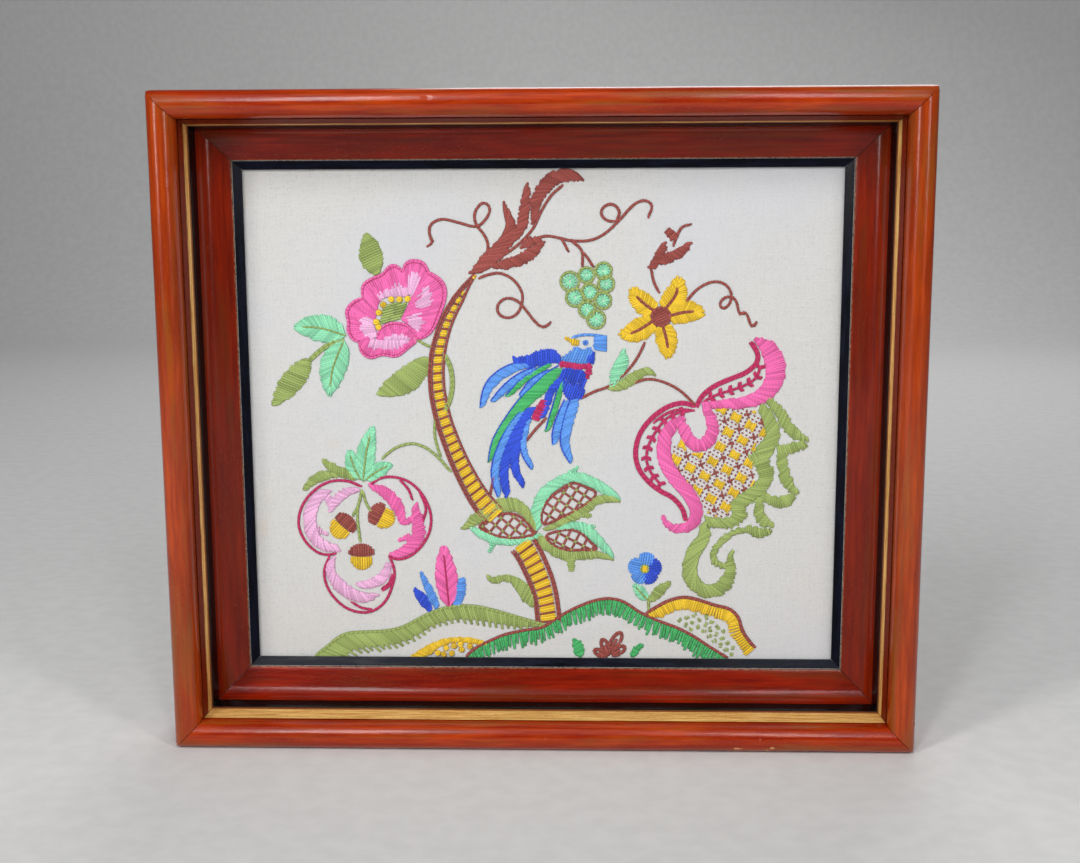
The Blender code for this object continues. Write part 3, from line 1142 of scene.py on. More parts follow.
BANDS = (
    Band("acanthus", "brown", 0.16, (2, 6, 7, 5.6, 3.4, 0.8),
         ((-34, 228.5), (-27, 234.5), (-19, 242), (-15, 250), (-16, 256), (-18.5, 262.5))),
    Band("acanthus", "brown", 0.14, (1.5, 4.2, 4.6, 3.6, 0.8),
         ((-16, 243), (-10.5, 250), (-8.5, 258), (-7.5, 265), (-7, 272))),
    Band("acanthus", "brown", 0.14, (2, 4, 5.4, 5.8, 5.6, 0.8),
         ((-3.5, 253), (-3, 262), (0.5, 269), (6, 274), (13, 275.5), (20, 273.5))),
    Band("acanthus", "brown", 0.1, (2, 4.2, 5, 4.5, 0.8),
         ((-25, 232.5), (-17, 233.5), (-8.5, 236.5), (-3, 240.5), (0.5, 244))),
    Band("acanthus", "brown", 0.1, (1.5, 4.2, 1),
         ((-10.5, 241), (-6, 244), (-0.5, 245))),
    Band("sprout", "brown", 0.1, (2.4, 4.6, 4, 1),
         ((52.5, 231), (55.5, 235.5), (58, 240), (59, 243.5))),
    Band("sprout", "brown", 0.1, (2.5, 4.6, 4.5, 1),
         ((56, 233.5), (61.5, 236.5), (67, 239), (71.5, 243.5))),
    Band("sprout", "brown", 0.0, (1.5, 4.5, 4.4, 1.5),
         ((60, 249.5), (61.5, 248), (63, 246.5), (64.5, 245))),
    Band("branch", "mint", 0.15, (1.5, 6.5, 6, 0.8),
         ((33.5, 173.5), (36.5, 180), (39, 186), (39.5, 192))),
    Band("branch", "olive", 0.15, (1.2, 4.6, 5.2, 4.2, 1.5),
         ((32, 172.5), (39, 174.5), (45, 178.5), (50, 181), (55, 180))),
    Band("paisley", "hot_pink", 0.0, (3, 6, 6.5, 6.5, 6.5, 6.4, 6, 5.6, 4.8, 3.6, 1.2),
         ((69.5, 158.5), (64, 154.5), (60, 148), (60, 138), (64.5, 129), (71.5, 121),
          (76, 112), (73.5, 104.5), (66, 102.6), (60.7, 105.5), (59.7, 109.5))),
    Band("paisley", "hot_pink", 0.0, (3, 5, 5.6, 6, 6, 5.8, 5, 3.4),
         ((79.4, 163.5), (82.6, 157.5), (83.2, 151), (80, 145.6), (75.6, 144.6), (71.4, 147.6),
          (69.2, 152.5), (66.4, 157))),
    Band("paisley", "hot_pink", 0.0, (4, 4, 5, 6.5, 8.5, 9.5, 8.5, 2),
         ((78, 164), (88, 165), (98, 165.7), (107, 169), (112.5, 176), (113, 185),
          (109.3, 192.5), (102.8, 197))),
    Band("frond", "olive", 0.05, (3, 5.5, 6.5, 6.5, 7.5, 6.5, 6, 6, 6, 6, 5, 4.5, 4),
         ((106, 164.5), (111, 157), (112.5, 148.5), (108.5, 141.5), (107, 137), (110, 130.5),
          (107.5, 124), (101, 118.5), (96, 114.5), (97.5, 110), (93, 106), (85.5, 105.3),
          (80, 106.5))),
    Band("frond", "olive", 0.0, (3, 5), ((101.5, 137.5), (107, 140))),
    Band("frond", "olive", 0.05, (2.5, 4, 4.5, 5, 1.5),
         ((109.5, 167.5), (115.5, 161), (120, 154), (125, 149.2), (130, 147.5))),
    Band("frond", "olive", 0.05, (2.5, 4.8, 4), ((129, 145.5), (122, 143), (115, 142))),
    Band("frond", "olive", 0.05, (3.5, 4, 4.5, 4.8, 1.2),
         ((117, 142), (117.8, 134), (120, 127), (123, 122.5), (126, 120.8))),
    Band("frond", "olive", 0.05, (2.5, 5, 4.5, 3),
         ((124, 119), (118, 116), (111.5, 117.3), (108, 120))),
    Band("frond", "olive", 0.05, (3.5, 4, 4.5, 1.2),
         ((107, 119), (106.5, 112), (108.5, 107), (114, 103.7))),
    Band("frond", "olive", 0.05, (2, 4.6, 3), ((113, 102), (107, 100.6), (100, 102.5))),
    Band("frond", "olive", 0.05, (1.9, 2.1, 2.2, 2.4, 2.3, 2),
         ((100, 102.5), (93, 100), (87, 94.5), (84.3, 89), (86.3, 84.7), (90.5, 84))),
    Band("frond", "olive", 0.05, (3.5, 5, 6, 6.5, 6.5, 6, 6, 6, 5.5, 4, 0.8),
         ((79, 106), (80, 99), (76, 92.5), (73.3, 86), (73.2, 79), (77, 72.8), (83.5, 70.5),
          (90, 73.7), (93, 80), (93, 86.5), (93.6, 91.5))),
    Band("pansy", "pale_pink", 0.13, (3, 5.4, 6, 6, 5, 3),
         ((-106.5, 122.3), (-113, 117), (-116.5, 108.5), (-115.5, 99), (-110, 93.3), (-101.5, 91.8))),
    Band("pansy", "pale_pink", 0.13, (1.6, 4, 4.6, 1.2),
         ((-91.5, 122.3), (-98.5, 120.3), (-103.5, 116), (-106.5, 110.5))),
    Band("pansy", "pale_pink", 0.13, (3, 1), ((-113, 101.5), (-107.5, 98.5))),
    Band("pansy", "pale_pink", 0.13, (3, 4.4, 3), ((-109.5, 119.5), (-106.3, 116), (-104.6, 112))),
    Band("pansy", "pale_pink", 0.13, (3, 4.4, 5.8, 6, 5, 1.6),
         ((-106, 87.5), (-107, 80), (-103, 73), (-96, 68), (-89, 66.3), (-83.5, 68.5))),
    Band("pansy", "pale_pink", 0.13, (1.6, 4.8, 5.2, 2.6),
         ((-94, 73), (-87, 73.6), (-80.3, 77.5), (-77, 85))),
    Band("pansy", "hot_pink", 0.13, (1.5, 5.4, 6.2, 2.2),
         ((-86.5, 124.3), (-78.5, 120.5), (-72.5, 113.5), (-70, 105))),
    Band("pansy", "hot_pink", 0.13, (1.6, 5.6, 6.2, 6, 4.6, 2),
         ((-63.5, 115), (-62.7, 106.5), (-62.3, 99), (-66, 93), (-72, 89.4), (-77, 88.5))),
    Band("pansy", "hot_pink", 0.13, (4, 1.2), ((-64.5, 107), (-70.5, 104.5))),
    Band("pansy", "hot_pink", 0.13, (3.6, 1.2), ((-66, 98), (-72.5, 96))),
    Band("pansy_leaf", "olive", 0.12, (2, 4.8, 4.6, 1.2),
         ((-92.5, 127.5), (-98.5, 130), (-104, 132.6), (-109.5, 137))),
    Band("pansy_leaf", "olive", 0.12, (1.2, 4.4, 4.6, 1.4),
         ((-102, 129), (-109, 129), (-115, 126), (-119, 121.5))),
    Band("cluster", "olive", 0.08, (1.2, 5.5, 6.8, 7.2, 6, 4, 1.5),
         ((-40.5, 102), (-34, 106.8), (-27, 111), (-19.5, 114.5), (-12, 113.4), (-7, 108),
          (-3.5, 101.5))),
    Band("cluster", "mint", 0.08, (1.2, 4, 3.8, 3.2, 2.4, 1.6),
         ((-36.5, 102.8), (-29, 98.6), (-21.5, 95.9), (-13, 95.6), (-6, 97), (-1, 99.5))),
    Band("cluster", "mint", 0.0, (3, 1), ((-25, 96), (-27, 90))),
    Band("cluster", "mint", 0.08, (3, 5, 5.6, 5, 4.4, 4.8, 4.6, 0.8),
         ((-2.3, 101.5), (-3.4, 110.5), (0, 119.5), (7, 125.5), (15, 128.7), (23, 126.6),
          (30, 122.6), (38, 118))),
    Band("cluster", "mint", 0.0, (3.2, 3, 0.8), ((10.5, 128), (14, 130.5), (17.5, 134))),
    Band("cluster", "olive", 0.08, (1.6, 3, 4, 4.6, 4.4, 3.6, 1),
         ((0.5, 101.5), (7, 104.6), (14, 108.2), (20, 111.6), (25.5, 116), (31, 117.6), (38, 116.7))),
    Band("cluster", "olive", 0.0, (3.4, 1.2), ((19.5, 109.5), (24, 108.6))),
    Band("cluster", "mint", 0.08, (1.4, 3, 4.4, 4.8, 4.2, 3.4, 0.8),
         ((7, 102), (13.5, 104), (19.5, 103.3), (24.5, 99.3), (29, 94.5), (32.5, 90.5), (35, 87.3))),
    Band("cluster", "mint", 0.0, (3, 1), ((22, 102.5), (26, 103.5))),
    Band("cluster", "olive", 0.08, (2, 4.6, 5, 5, 4.4, 4, 3, 1),
         ((-2.5, 99.5), (1, 94), (7, 90.2), (13.5, 88.3), (20, 88.8), (25.5, 89), (30, 88.2),
          (35, 86.8))),
    Band("cluster", "olive", 0.0, (4.6, 3.6, 1.4), ((13.5, 88), (14, 84), (14, 80.5))),
    Band("tuft", "royal_blue", 0.1, (1.5, 4.4, 4.6, 4, 1.6),
         ((-57, 59.5), (-58.5, 62), (-60.5, 65), (-62.5, 68), (-65, 70.8))),
    Band("tuft", "sky_blue", 0.1, (2.4, 4.4, 3.6, 2.8, 1.2),
         ((-53.5, 61), (-55.5, 66), (-58, 71.5), (-60, 76), (-61.5, 80))),
    Band("tuft", "sky_blue", 0.1, (2, 4.8, 5, 4.6, 2),
         ((-44, 62.3), (-42.8, 66), (-41.6, 70), (-41, 73.5), (-40.4, 77))),
    Band("foot_leaf", "olive", 0.1, (1.4, 3.2, 3, 4.6, 6.8, 6, 1.4),
         ((-28.5, 77.8), (-24.5, 75.8), (-19, 76.8), (-14.5, 75.6), (-10.5, 71.5), (-8, 67),
          (-5, 62.3))),
    Band("bird", "royal_blue", 0.1, (3.5, 7, 7.6, 6.6, 5.4, 2.4),
         ((9, 186.5), (4, 188.3), (-2, 187.3), (-7, 185.8), (-11, 186), (-14.5, 187))),
    Band("bird", "sky_blue", 0.1, (2, 4.4, 4.6, 4.4, 3.6, 1.4),
         ((-7, 184.5), (-15, 182.5), (-21.5, 178.8), (-26, 174), (-28.5, 168.5), (-30, 163.3))),
    Band("bird", "sky_blue", 0.1, (1.8, 3.6, 3.8, 3.2, 1.6),
         ((-3, 182.5), (-11, 178.3), (-17, 173.8), (-21.5, 169.5), (-25, 166))),
    Band("bird", "emerald", 0.1, (1.6, 2.8, 3, 2.8, 1.4),
         ((4, 185), (-3, 180.8), (-9.5, 176.5), (-14, 172), (-17.7, 168.7))),
    Band("bird", "sky_blue", 0.1, (1.4, 2.8, 3.2, 1.4),
         ((3.5, 181.5), (-3.5, 177), (-8, 172.5), (-11, 169))),
    Band("bird", "emerald", 0.1, (3, 6, 6.5, 6, 5, 3.8, 3, 2.6, 1.4),
         ((9, 183), (3.5, 178), (-2, 172.5), (-8, 167), (-14, 160.5), (-19, 154), (-23, 147.5),
          (-25, 141.5), (-26.3, 136))),
    Band("bird", "royal_blue", 0.1, (2, 3.4, 3.6, 3, 1.4),
         ((9.5, 178.5), (5, 172.5), (2.5, 166.5), (1, 161.5), (-1, 158))),
    Band("bird", "emerald", 0.1, (1.5, 2.8, 2.8, 2.6, 1.4),
         ((10, 176.5), (8, 170), (6, 163), (4, 157), (2, 151.5))),
    Band("bird", "royal_blue", 0.1, (3, 4.6, 5, 4.6, 4.4, 4, 2.4),
         ((-4.5, 164), (-10, 156.5), (-14.5, 148), (-17.7, 139.5), (-19.4, 131), (-18.8, 124),
          (-17.4, 118.3))),
    Band("bird", "sky_blue", 0.1, (1.6, 3.2, 3.6, 3.6, 3.6, 3.2, 1.8),
         ((-10, 161.5), (-15.5, 153.5), (-19.8, 145), (-22.8, 137), (-23.8, 130), (-23, 124),
          (-21.6, 118.5))),
    Band("bird", "royal_blue", 0.1, (2, 3.6, 4, 3.8, 3.4, 2),
         ((-7, 158.5), (-11, 150), (-13.4, 142), (-14, 135), (-12.4, 129), (-9.2, 123.8))),
    Band("bird", "sky_blue", 0.1, (1.6, 2.8, 3, 2.8, 1.6),
         ((-6.5, 158), (-9, 150.5), (-9.7, 144), (-8, 138), (-5, 132.7))),
    Band("bird", "sky_blue", 0.1, (4, 5, 4.8, 4.4, 3.6, 2),
         ((16, 168), (13.7, 160.5), (11.7, 153), (10.7, 146.5), (12, 141), (14.3, 136))),
    Band("bird", "sky_blue", 0.1, (2.5, 4, 4, 3.8, 2),
         ((12, 167), (10, 161), (7.7, 155), (6.4, 149.5), (5.7, 144.8))),
    Band("bird", "crimson", 0.1, (2.4, 2.8, 2.6, 2.4),
         ((8, 185), (13.5, 184), (19, 183.4), (24, 184.2))),
    Band("bird", "crimson", 0.0, (3, 2.6, 1), ((22.8, 183.5), (22.4, 180.3), (21.5, 177.5))),
    Band("bird", "crimson", 0.1, (2.6, 5, 5.4, 3),
         ((1, 167), (-0.4, 163.5), (-2, 160), (-4.2, 157.2))),
    Band("bird", "yellow", 0.1, (0.8, 2.2, 3, 2.6),
         ((11, 197.6), (13, 196.6), (15.5, 195.6), (17.7, 194.6))),
)

LINES = (
    Line("tendril", "brown", 1, ((-27, 236), (-26, 243), (-28.5, 248.5), (-31.5, 252), (-32.3, 258),
                                 (-28, 263), (-24.7, 259.5), (-27.7, 254), (-32, 251.3), (-40, 253.3),
                                 (-48, 255), (-53.6, 252.4), (-54.2, 247.5), (-52.6, 243.6),
                                 (-56, 242))),
    Line("tendril", "brown", 1, ((-31, 226.5), (-26, 228.3), (-20, 229), (-13.5, 225.5), (-9.7, 219.5),
                                 (-9.8, 214.5), (-12, 209.5), (-16.5, 207.3), (-21, 209),
                                 (-21.7, 213.5),
                                 (-17.5, 217), (-12, 215.6), (-7.8, 211), (-3.5, 205.5), (0.5, 202.7),
                                 (4.5, 205.3))),
    Line("tendril", "brown", 1, ((-5, 245), (2, 246.8), (8.5, 245.8), (15, 244.4), (24, 244.8),
                                 (31, 248.4), (37.5, 254.5), (44, 261.5), (49.5, 263.6), (53, 260.8),
                                 (51.4, 256.8), (50.7, 255))),
    Line("tendril", "brown", 1, ((35.5, 253.5), (37.4, 258), (34, 261.9), (29.5, 260.5), (28.4, 257),
                                 (31.3, 254), (35.5, 253.5))),
    Line("tendril", "brown", 1, ((9.5, 245.3), (11.5, 242), (12.8, 238.8))),
    Line("tendril", "brown", 1, ((14.5, 244.2), (19.3, 239.6), (19.4, 231.5))),
    Line("tendril", "brown", 1, ((19.3, 239.6), (22.5, 235.5), (25, 231.5))),
    Line("acanthus", "brown", 1, ((-23, 235), (-12.5, 241.8), (-4.5, 250), (0, 259), (5, 266.5),
                                  (10.5, 271))),
    Line("sprout", "brown", 1, ((56.7, 219), (53.8, 225), (52.6, 231))),
    Line("sprout", "brown", 1, ((62.8, 241.5), (64.8, 246.5), (67.3, 251), (72, 252))),
    Line("sprout", "brown", 1, ((69.5, 215), (75, 221.2), (82, 224.6), (88, 223.6), (91.3, 219),
                                (90.3, 213.6), (87, 211.5), (85.6, 214), (88.3, 217.2), (92.5, 217),
                                (94.4, 213), (95.3, 208.8), (98.5, 210), (100, 206), (101.4, 202.7),
                                (104, 205.2))),
    Line("branch", "brown", 1, ((19, 168), (25.5, 171.3), (33.5, 174.3), (41, 181), (46, 187.5),
                                (50, 195.5))),
    Line("branch", "brown", 1, ((44.5, 175.4), (51.5, 177.4), (60, 175.6), (68, 171), (75, 164))),
    Line("branch", "brown", 1, ((2, 158.3), (-3.5, 152.5), (-8, 146.8))),
    Line("branch", "brown", 1, ((-24.2, 129.5), (-25.2, 124.5), (-26.3, 119.5))),
    Line("paisley", "crimson", 2, ((75, 164), (68, 165.6), (60.5, 163.3), (53, 157.6), (47.6, 150),
                                   (45.6, 141), (47.2, 133), (52, 126.4), (58, 121.6), (64, 118.3),
                                   (69, 112.5), (70.6, 106.5))),
    Line("paisley", "crimson", 1, ((74.5, 161.6), (67, 162.4), (60, 160), (54, 155.6))),
    Line("paisley", "crimson", 2, ((75, 163.5), (78.3, 169.5), (84.5, 174.3), (92, 177.6),
                                   (99, 180.6), (104, 185.2), (104.4, 190), (101, 195.6))),
    Line("pansy", "crimson", 1, ((-90, 123.3), (-97, 126.3), (-106, 126), (-114.5, 121),
                                 (-120.5, 113), (-122.3, 104), (-119.5, 96), (-114, 90.3),
                                 (-109, 88.6), (-103.5, 89.2))),
    Line("pansy", "crimson", 1, ((-107, 88), (-110, 81), (-109.5, 74), (-106, 67), (-99.5, 61),
                                 (-91.5, 58.7), (-85, 60), (-79.4, 65), (-76, 72.5), (-74.6, 80),
                                 (-77, 88))),
    Line("pansy", "crimson", 1, ((-97, 64.5), (-92, 61.2), (-86.5, 60.3))),
    Line("pansy", "crimson", 2, ((-75, 78.5), (-77, 73.7), (-81.5, 70.5))),
    Line("pansy", "crimson", 1, ((-86.7, 123.6), (-81, 127.7), (-74, 128.4), (-66, 125.7),
                                 (-59.6, 119), (-56, 110), (-56.6, 101), (-61, 93), (-67.5, 87.6),
                                 (-74, 86.4), (-77.5, 88.4))),
    Line("pansy", "crimson", 1, ((-71, 127), (-66.6, 121.8), (-65, 116.5))),
    Line("pansy", "crimson", 1, ((-61.3, 121), (-58.2, 112.5), (-60.3, 105.5))),
    Line("pansy", "olive", 1, ((-90, 122), (-92, 114), (-95.3, 108.3))),
    Line("pansy", "olive", 1, ((-90, 122), (-92.6, 110), (-91.6, 95))),
    Line("pansy", "olive", 1, ((-89.5, 121.5), (-88.3, 115.5), (-85.6, 110.5))),
    Line("pansy_leaf", "olive", 1, ((-80, 137.5), (-73, 143), (-64.5, 145.3), (-57, 142.7),
                                    (-51, 137.5), (-45.3, 130.7))),
    Line("pansy_leaf", "olive", 1, ((-52.8, 158.5), (-53.3, 149), (-50.5, 138.5))),
    Line("pansy_leaf", "olive", 2, ((-48, 189.5), (-45, 183), (-44.2, 174), (-46.3, 165),
                                    (-50.5, 158.5))),
    Line("rose_leaf", "olive", 1, ((-62.5, 198), (-58.5, 195), (-54, 193))),
    Line("rose_leaf", "olive", 2, ((-97, 197.5), (-106, 193.5), (-114.5, 186.5))),
    Line("blue_flower", "olive", 1, ((52.5, 60.5), (52.6, 64), (52.2, 69))),
    Line("bird", "sky_blue", 1, ((14, 197.4), (19, 199), (26, 198.9), (31, 198))),
)

LEAVES = (
    Leaf("rose_leaf", "olive", None, (-80.5, 228.5), (-84.5, 248.5), 10.5, 0.02),
    Leaf("rose_leaf", "mint", "olive", (-96, 198.8), (-121.5, 203.3), 12.5, -0.06),
    Leaf("rose_leaf", "mint", "olive", (-97, 196.5), (-105, 169), 12.5, -0.06),
    Leaf("rose_leaf", "olive", None, (-114.3, 187), (-133, 164.5), 10, 0.0),
    Leaf("rose_leaf", "olive", None, (-55.5, 187.5), (-81.5, 170), 11.5, 0.08),
    Leaf("pansy_leaf", "mint", "olive", (-89.3, 126), (-84, 154), 8.5, 0.03),
    Leaf("pansy_leaf", "mint", "olive", (-90.7, 127), (-96, 142), 7, 0.04),
    Leaf("pansy_leaf", "mint", "olive", (-88, 127), (-74.5, 135), 6.5, 0.05),
    Leaf("tuft", "hot_pink", "crimson", (-47.5, 61.5), (-50, 94), 10, 0.0),
    Leaf("blue_flower", "mint", "olive", (52, 66), (45, 74), 4.8, 0.0),
    Leaf("blue_flower", "olive", None, (53, 65.5), (63, 75.3), 4.8, 0.0),
    Leaf("bottom_sprig", "emerald", None, (18, 36), (15.2, 45.6), 4.6, -0.1),
    Leaf("bottom_sprig", "emerald", None, (44.5, 36.5), (50, 42.6), 2.6, 0.1),
)


# Motifs that need more than the tables

TRUNK_MIDDLE = (
    (-32.5, 228.5), (-39, 219.5), (-46.5, 206), (-51.2, 190), (-52, 175), (-49.7, 160),
    (-45.3, 146), (-39, 131), (-30.5, 116), (-19.5, 103.5), (-10, 93.5), (-4, 82),
    (0.5, 69), (2.6, 52.5),
)
TRUNK_WIDTHS = (1.6, 6, 7, 8, 8.3, 8.6, 9.2, 10, 11.2, 12.6, 13.6, 13.2, 12.4, 12.6)


# Heights between which the leaf cluster covers the trunk, and where the trunk ends at the hills
TRUNK_HIDDEN = (95, 108)
TRUNK_FOOT = 53.5
# The trunk's points run down, so the side to their right is the one seen on the left
SEEN_LEFT = -1
SEEN_RIGHT = 1


def trunk():
    """Brown outlines, two on the left and one on the right, with raised yellow blocks between."""
    path = curve(TRUNK_MIDDLE)
    height = path[:, 1]
    upper = height > TRUNK_HIDDEN[1]
    lower = (height < TRUNK_HIDDEN[0]) & (height > TRUNK_FOOT)
    for part, rows, gap in ((upper, 1, 1.2), (lower, 2, 2.0)):
        stem("trunk", "brown", trunk_line(path, SEEN_LEFT, 0.5)[part], 1.0)
        stem("trunk", "brown", trunk_line(path, SEEN_LEFT, 1.75)[part], 1.0)
        stem("trunk", "brown", trunk_line(path, SEEN_RIGHT, 0.5)[part], 1.1, rows=rows)
        rungs(trunk_line(path, SEEN_LEFT, 2.35)[part], trunk_line(path, SEEN_RIGHT, gap)[part])


def trunk_line(path, sign, inset):
    """A line along one side of the trunk, this far in from its edge."""
    return path + sideways(path) * (sign * (half_widths(path, TRUNK_WIDTHS) - inset))[:, None]


RUNG_PITCH = 1.14


def rungs(left, right):
    """Blocks of three yellow stitches with a brown one between each two."""
    shares = even_shares(max(length_of(left), length_of(right)), RUNG_PITCH)
    for k, (start, end) in enumerate(zip(at(left, shares), at(right, shares))):
        size = np.linalg.norm(end - start)
        if size < 1.0:
            continue
        if k % 4 == 3:
            stitch("trunk", "brown", start, end, 1.1)
            continue
        ease = (end - start) / size * (0.0 if k % 4 == 1 else 0.35)
        # The middle yellow stitch of each block stands higher and is left unshaded, a painted
        # highlight; the other two get painted shade
        rise, shade = (0.14, 0.0) if k % 4 == 1 else (0.0, 0.55)
        stitch("trunk", "yellow", start + ease, end - ease, 1.3, 0.75, rise, shade)


GRAPE_STITCHES = 12
GRAPES = (  # across, up, radius
    (13.5, 225, 5.2), (21.5, 228, 4.4), (29.7, 230, 4.6), (31, 223.7, 4.5), (16, 217.2, 5),
    (23, 219.7, 4.6), (29.5, 215.6, 4.6), (21.8, 211.2, 4.6), (26.2, 206.5, 5),
)


def grapes():
    """Rings of olive stem stitch round mint stitches that radiate from a bare centre."""
    for x, y, radius in GRAPES:
        stem("grapes", "olive", ring((x, y), radius - 0.6, radius - 0.6), 1.15, 2.4)
        turn = rng.uniform(0, 1)
        for k in range(GRAPE_STITCHES):
            arm = towards((k + turn) * 2 * math.pi / GRAPE_STITCHES)
            far = radius - 1.0 - 0.3 * (k % 2)
            stitch("grapes", "mint", (x, y) + arm * 0.5, (x, y) + arm * far, 1.25, 0.45)


STAR_CENTRE = np.array((57.5, 207.8))
STAR_MIDDLE = 3.4
STAR_DISC = 4.5
STAR_PETALS = (  # angle in degrees, length, width, bend
    (137, 20.5, 10.5, 0.05), (66, 21.5, 11, -0.1), (5, 21.5, 11, 0.06),
    (-80, 21, 10.5, 0.04), (-155, 22.5, 11, 0.06),
)
STAR_SHARES = (0, 0.15, 0.45, 0.7, 0.88, 1)
STAR_FULLNESS = (0.58, 0.84, 1, 0.8, 0.5, 0.1)


def star_flower():
    """Five yellow petals with brown veins, round a brown disc."""
    for degrees, length, width, bend in STAR_PETALS:
        ahead = towards(math.radians(degrees))
        root = STAR_CENTRE + ahead * STAR_MIDDLE
        tip = STAR_CENTRE + ahead * length
        path = curve((root, (root + tip) / 2 + turned_left(ahead) * bend * length, tip))
        shares = np.linspace(0, 1, len(path))
        half = width / 2 * np.interp(shares, STAR_SHARES, STAR_FULLNESS)
        inner = at(path, shares * 0.86)
        for sign in (-1, 1):
            edge = path + sideways(path) * half[:, None] * sign
            satin("star_flower", "yellow", at(edge, 0.1 + shares * 0.9), inner, ragged=0.5)
        stem("star_flower", "brown", at(path, np.linspace(0, 0.7, 24)), 1.3, 2.6, TOP_LAYER)
    fill("star_flower", "brown", oval(STAR_CENTRE, STAR_DISC, STAR_DISC), 25, base=0.12)
    stem("star_flower", "brown", ring(STAR_CENTRE, STAR_DISC, STAR_DISC), 1.3, 2.4, TOP_LAYER)


# Outer edge, inner edge, and pale patches: first and last share along, near and far shares across
ROSE_PETALS = (
    (((-87.5, 217.5), (-86.9, 223.6), (-81.6, 227), (-77.3, 228.8), (-73.8, 232.7),
      (-70.6, 232.8), (-67.4, 230)),
     ((-81.6, 209.5), (-80.8, 214.5), (-78, 217.6), (-74.5, 218.7), (-71, 218.7),
      (-67.5, 218.8), (-64.6, 218.8)), ((0.3, 1.0, 0.6, 1.0),)),
    (((-67.4, 230.5), (-65.6, 234.3), (-61.3, 235.4), (-57.2, 234), (-55, 230)),
     ((-65, 218.8), (-64.2, 218.6), (-63.4, 218.3), (-62.6, 218)), ((0.3, 0.85, 0.3, 1.0),)),
    (((-55.2, 229.8), (-50, 226.8), (-47, 222.4), (-47.2, 216.1), (-50.5, 207.3),
      (-53.5, 201.4), (-57.5, 198), (-61.5, 197)),
     ((-63, 217.8), (-63.8, 214.5), (-65.2, 211.5), (-66.8, 208.5), (-68, 206), (-66, 204.5),
      (-63.8, 202.5), (-62.3, 199)), ((0.1, 0.42, 0.3, 0.72), (0.5, 0.86, 0.42, 0.9))),
    (((-87.5, 217), (-91.5, 215.6), (-95.4, 211.2), (-94.6, 205), (-95, 201.2),
      (-92.6, 196.8), (-89.2, 196)),
     ((-81.8, 209), (-82.2, 207.5), (-82.6, 206), (-82.4, 204), (-81.4, 202), (-80.8, 200),
      (-80.6, 198.5)), ((0.3, 1.0, 0.42, 1.0),)),
    (((-80.8, 197.6), (-79.2, 201.6), (-75.5, 204.4), (-70, 205), (-65.5, 203.4),
      (-62.2, 199.6), (-61.4, 196.6)),
     ((-80.6, 195.6), (-78, 196), (-75, 196.4), (-70, 196.6), (-66, 196.4), (-62.5, 196)),
     ((0.2, 0.85, 0.62, 1.0),)),
    (((-89.6, 195.6), (-88.4, 190.5), (-84, 187.8), (-78.3, 189.4), (-71.5, 188.6),
      (-66.5, 192), (-61.4, 196)),
     ((-88.6, 197.6), (-84.5, 198.2), (-81, 197), (-74, 196.8), (-68, 196.8), (-63, 196.6)),
     ((0.2, 0.9, 0.36, 1.0),)),
)
ROSE_HEART = ((-77.4, 213.8), (-71.5, 215), (-65.8, 214.8), (-67.2, 210.6), (-70, 206),
              (-75, 205.2), (-79.6, 204.4), (-78, 209.3))
ROSE_MIDDLE = np.array((-72.8, 210.6))
ROSE_KNOTS = ((-81, 205.4), (-79.6, 210), (-77.3, 214), (-73.4, 216.5), (-69.4, 216.4),
              (-65.4, 216.6), (-79.8, 203))


def rose():
    """Hot pink petals in uneven lengths with pale patches, round an olive heart and its knots."""
    for outer_points, inner_points, patches in ROSE_PETALS:
        outer = curve(outer_points)
        inner = curve(inner_points)
        near_heart = np.linalg.norm(inner - ROSE_MIDDLE, axis=1)[:, None] < 11.5
        inner = np.where(near_heart, ROSE_MIDDLE + (inner - ROSE_MIDDLE) * 0.86, inner)
        long_and_short("rose", "hot_pink", outer, inner)
        for first, last, near, far in patches:
            pale_patch(outer, inner, first, last, near, far)
        stem("rose", "hot_pink", outer, 1.1, 2.0, 0.16)
        # A thin crimson line just inside each outline: painted shadow where the raised outline meets
        # the petals
        rim = outer + (at(inner, np.linspace(0, 1, len(outer))) - outer) * 0.07
        stem("rose", "crimson", rim, 0.34, 2.2, 0.2)
    heart = curve(ROSE_HEART, closed=True)
    fill("rose", "olive", heart, 15, base=0.1)
    for x, y in ROSE_KNOTS:
        knot("rose", "yellow", (x, y), 3.5)


def pale_patch(outer, inner, first, last, near, far):
    """Pale stitches of uneven lengths over part of a petal, thinnest at the patch's two ends."""
    count = round(length_of(outer) * (last - first) / (YARN_PITCH * 0.95))
    for k in range(count):
        share = first + (last - first) * (k + 0.5) / count
        start = at(outer, np.array([share]))[0]
        end = at(inner, np.array([share]))[0]
        middle = (near + far) / 2
        fade = 0.45 + 0.55 * math.sin(math.pi * (k + 0.5) / count)
        low = near + (middle - near) * (1 - fade) + jitter(0.1)
        high = far if far == 1.0 else far - (far - middle) * (1 - fade) + jitter(0.1)
        stitch("rose", "pale_pink", start + (end - start) * low, start + (end - start) * high,
               1.15, 0.6, 0.2)


BIRD_BODY = ((10, 182.5), (16, 183), (21, 180.5), (20.8, 174), (19, 167.5), (13, 166.8), (9.5, 172),
             (8.5, 178))
BIRD_NECK = ((8.5, 186.7), (13, 190.5), (16.5, 193.3), (20, 192), (23.5, 193.2), (24.7, 189.5),
             (25, 185.3), (17, 185))
BIRD_EYE = np.array((21, 195.2))
BIRD_FACE_STITCHES = 8


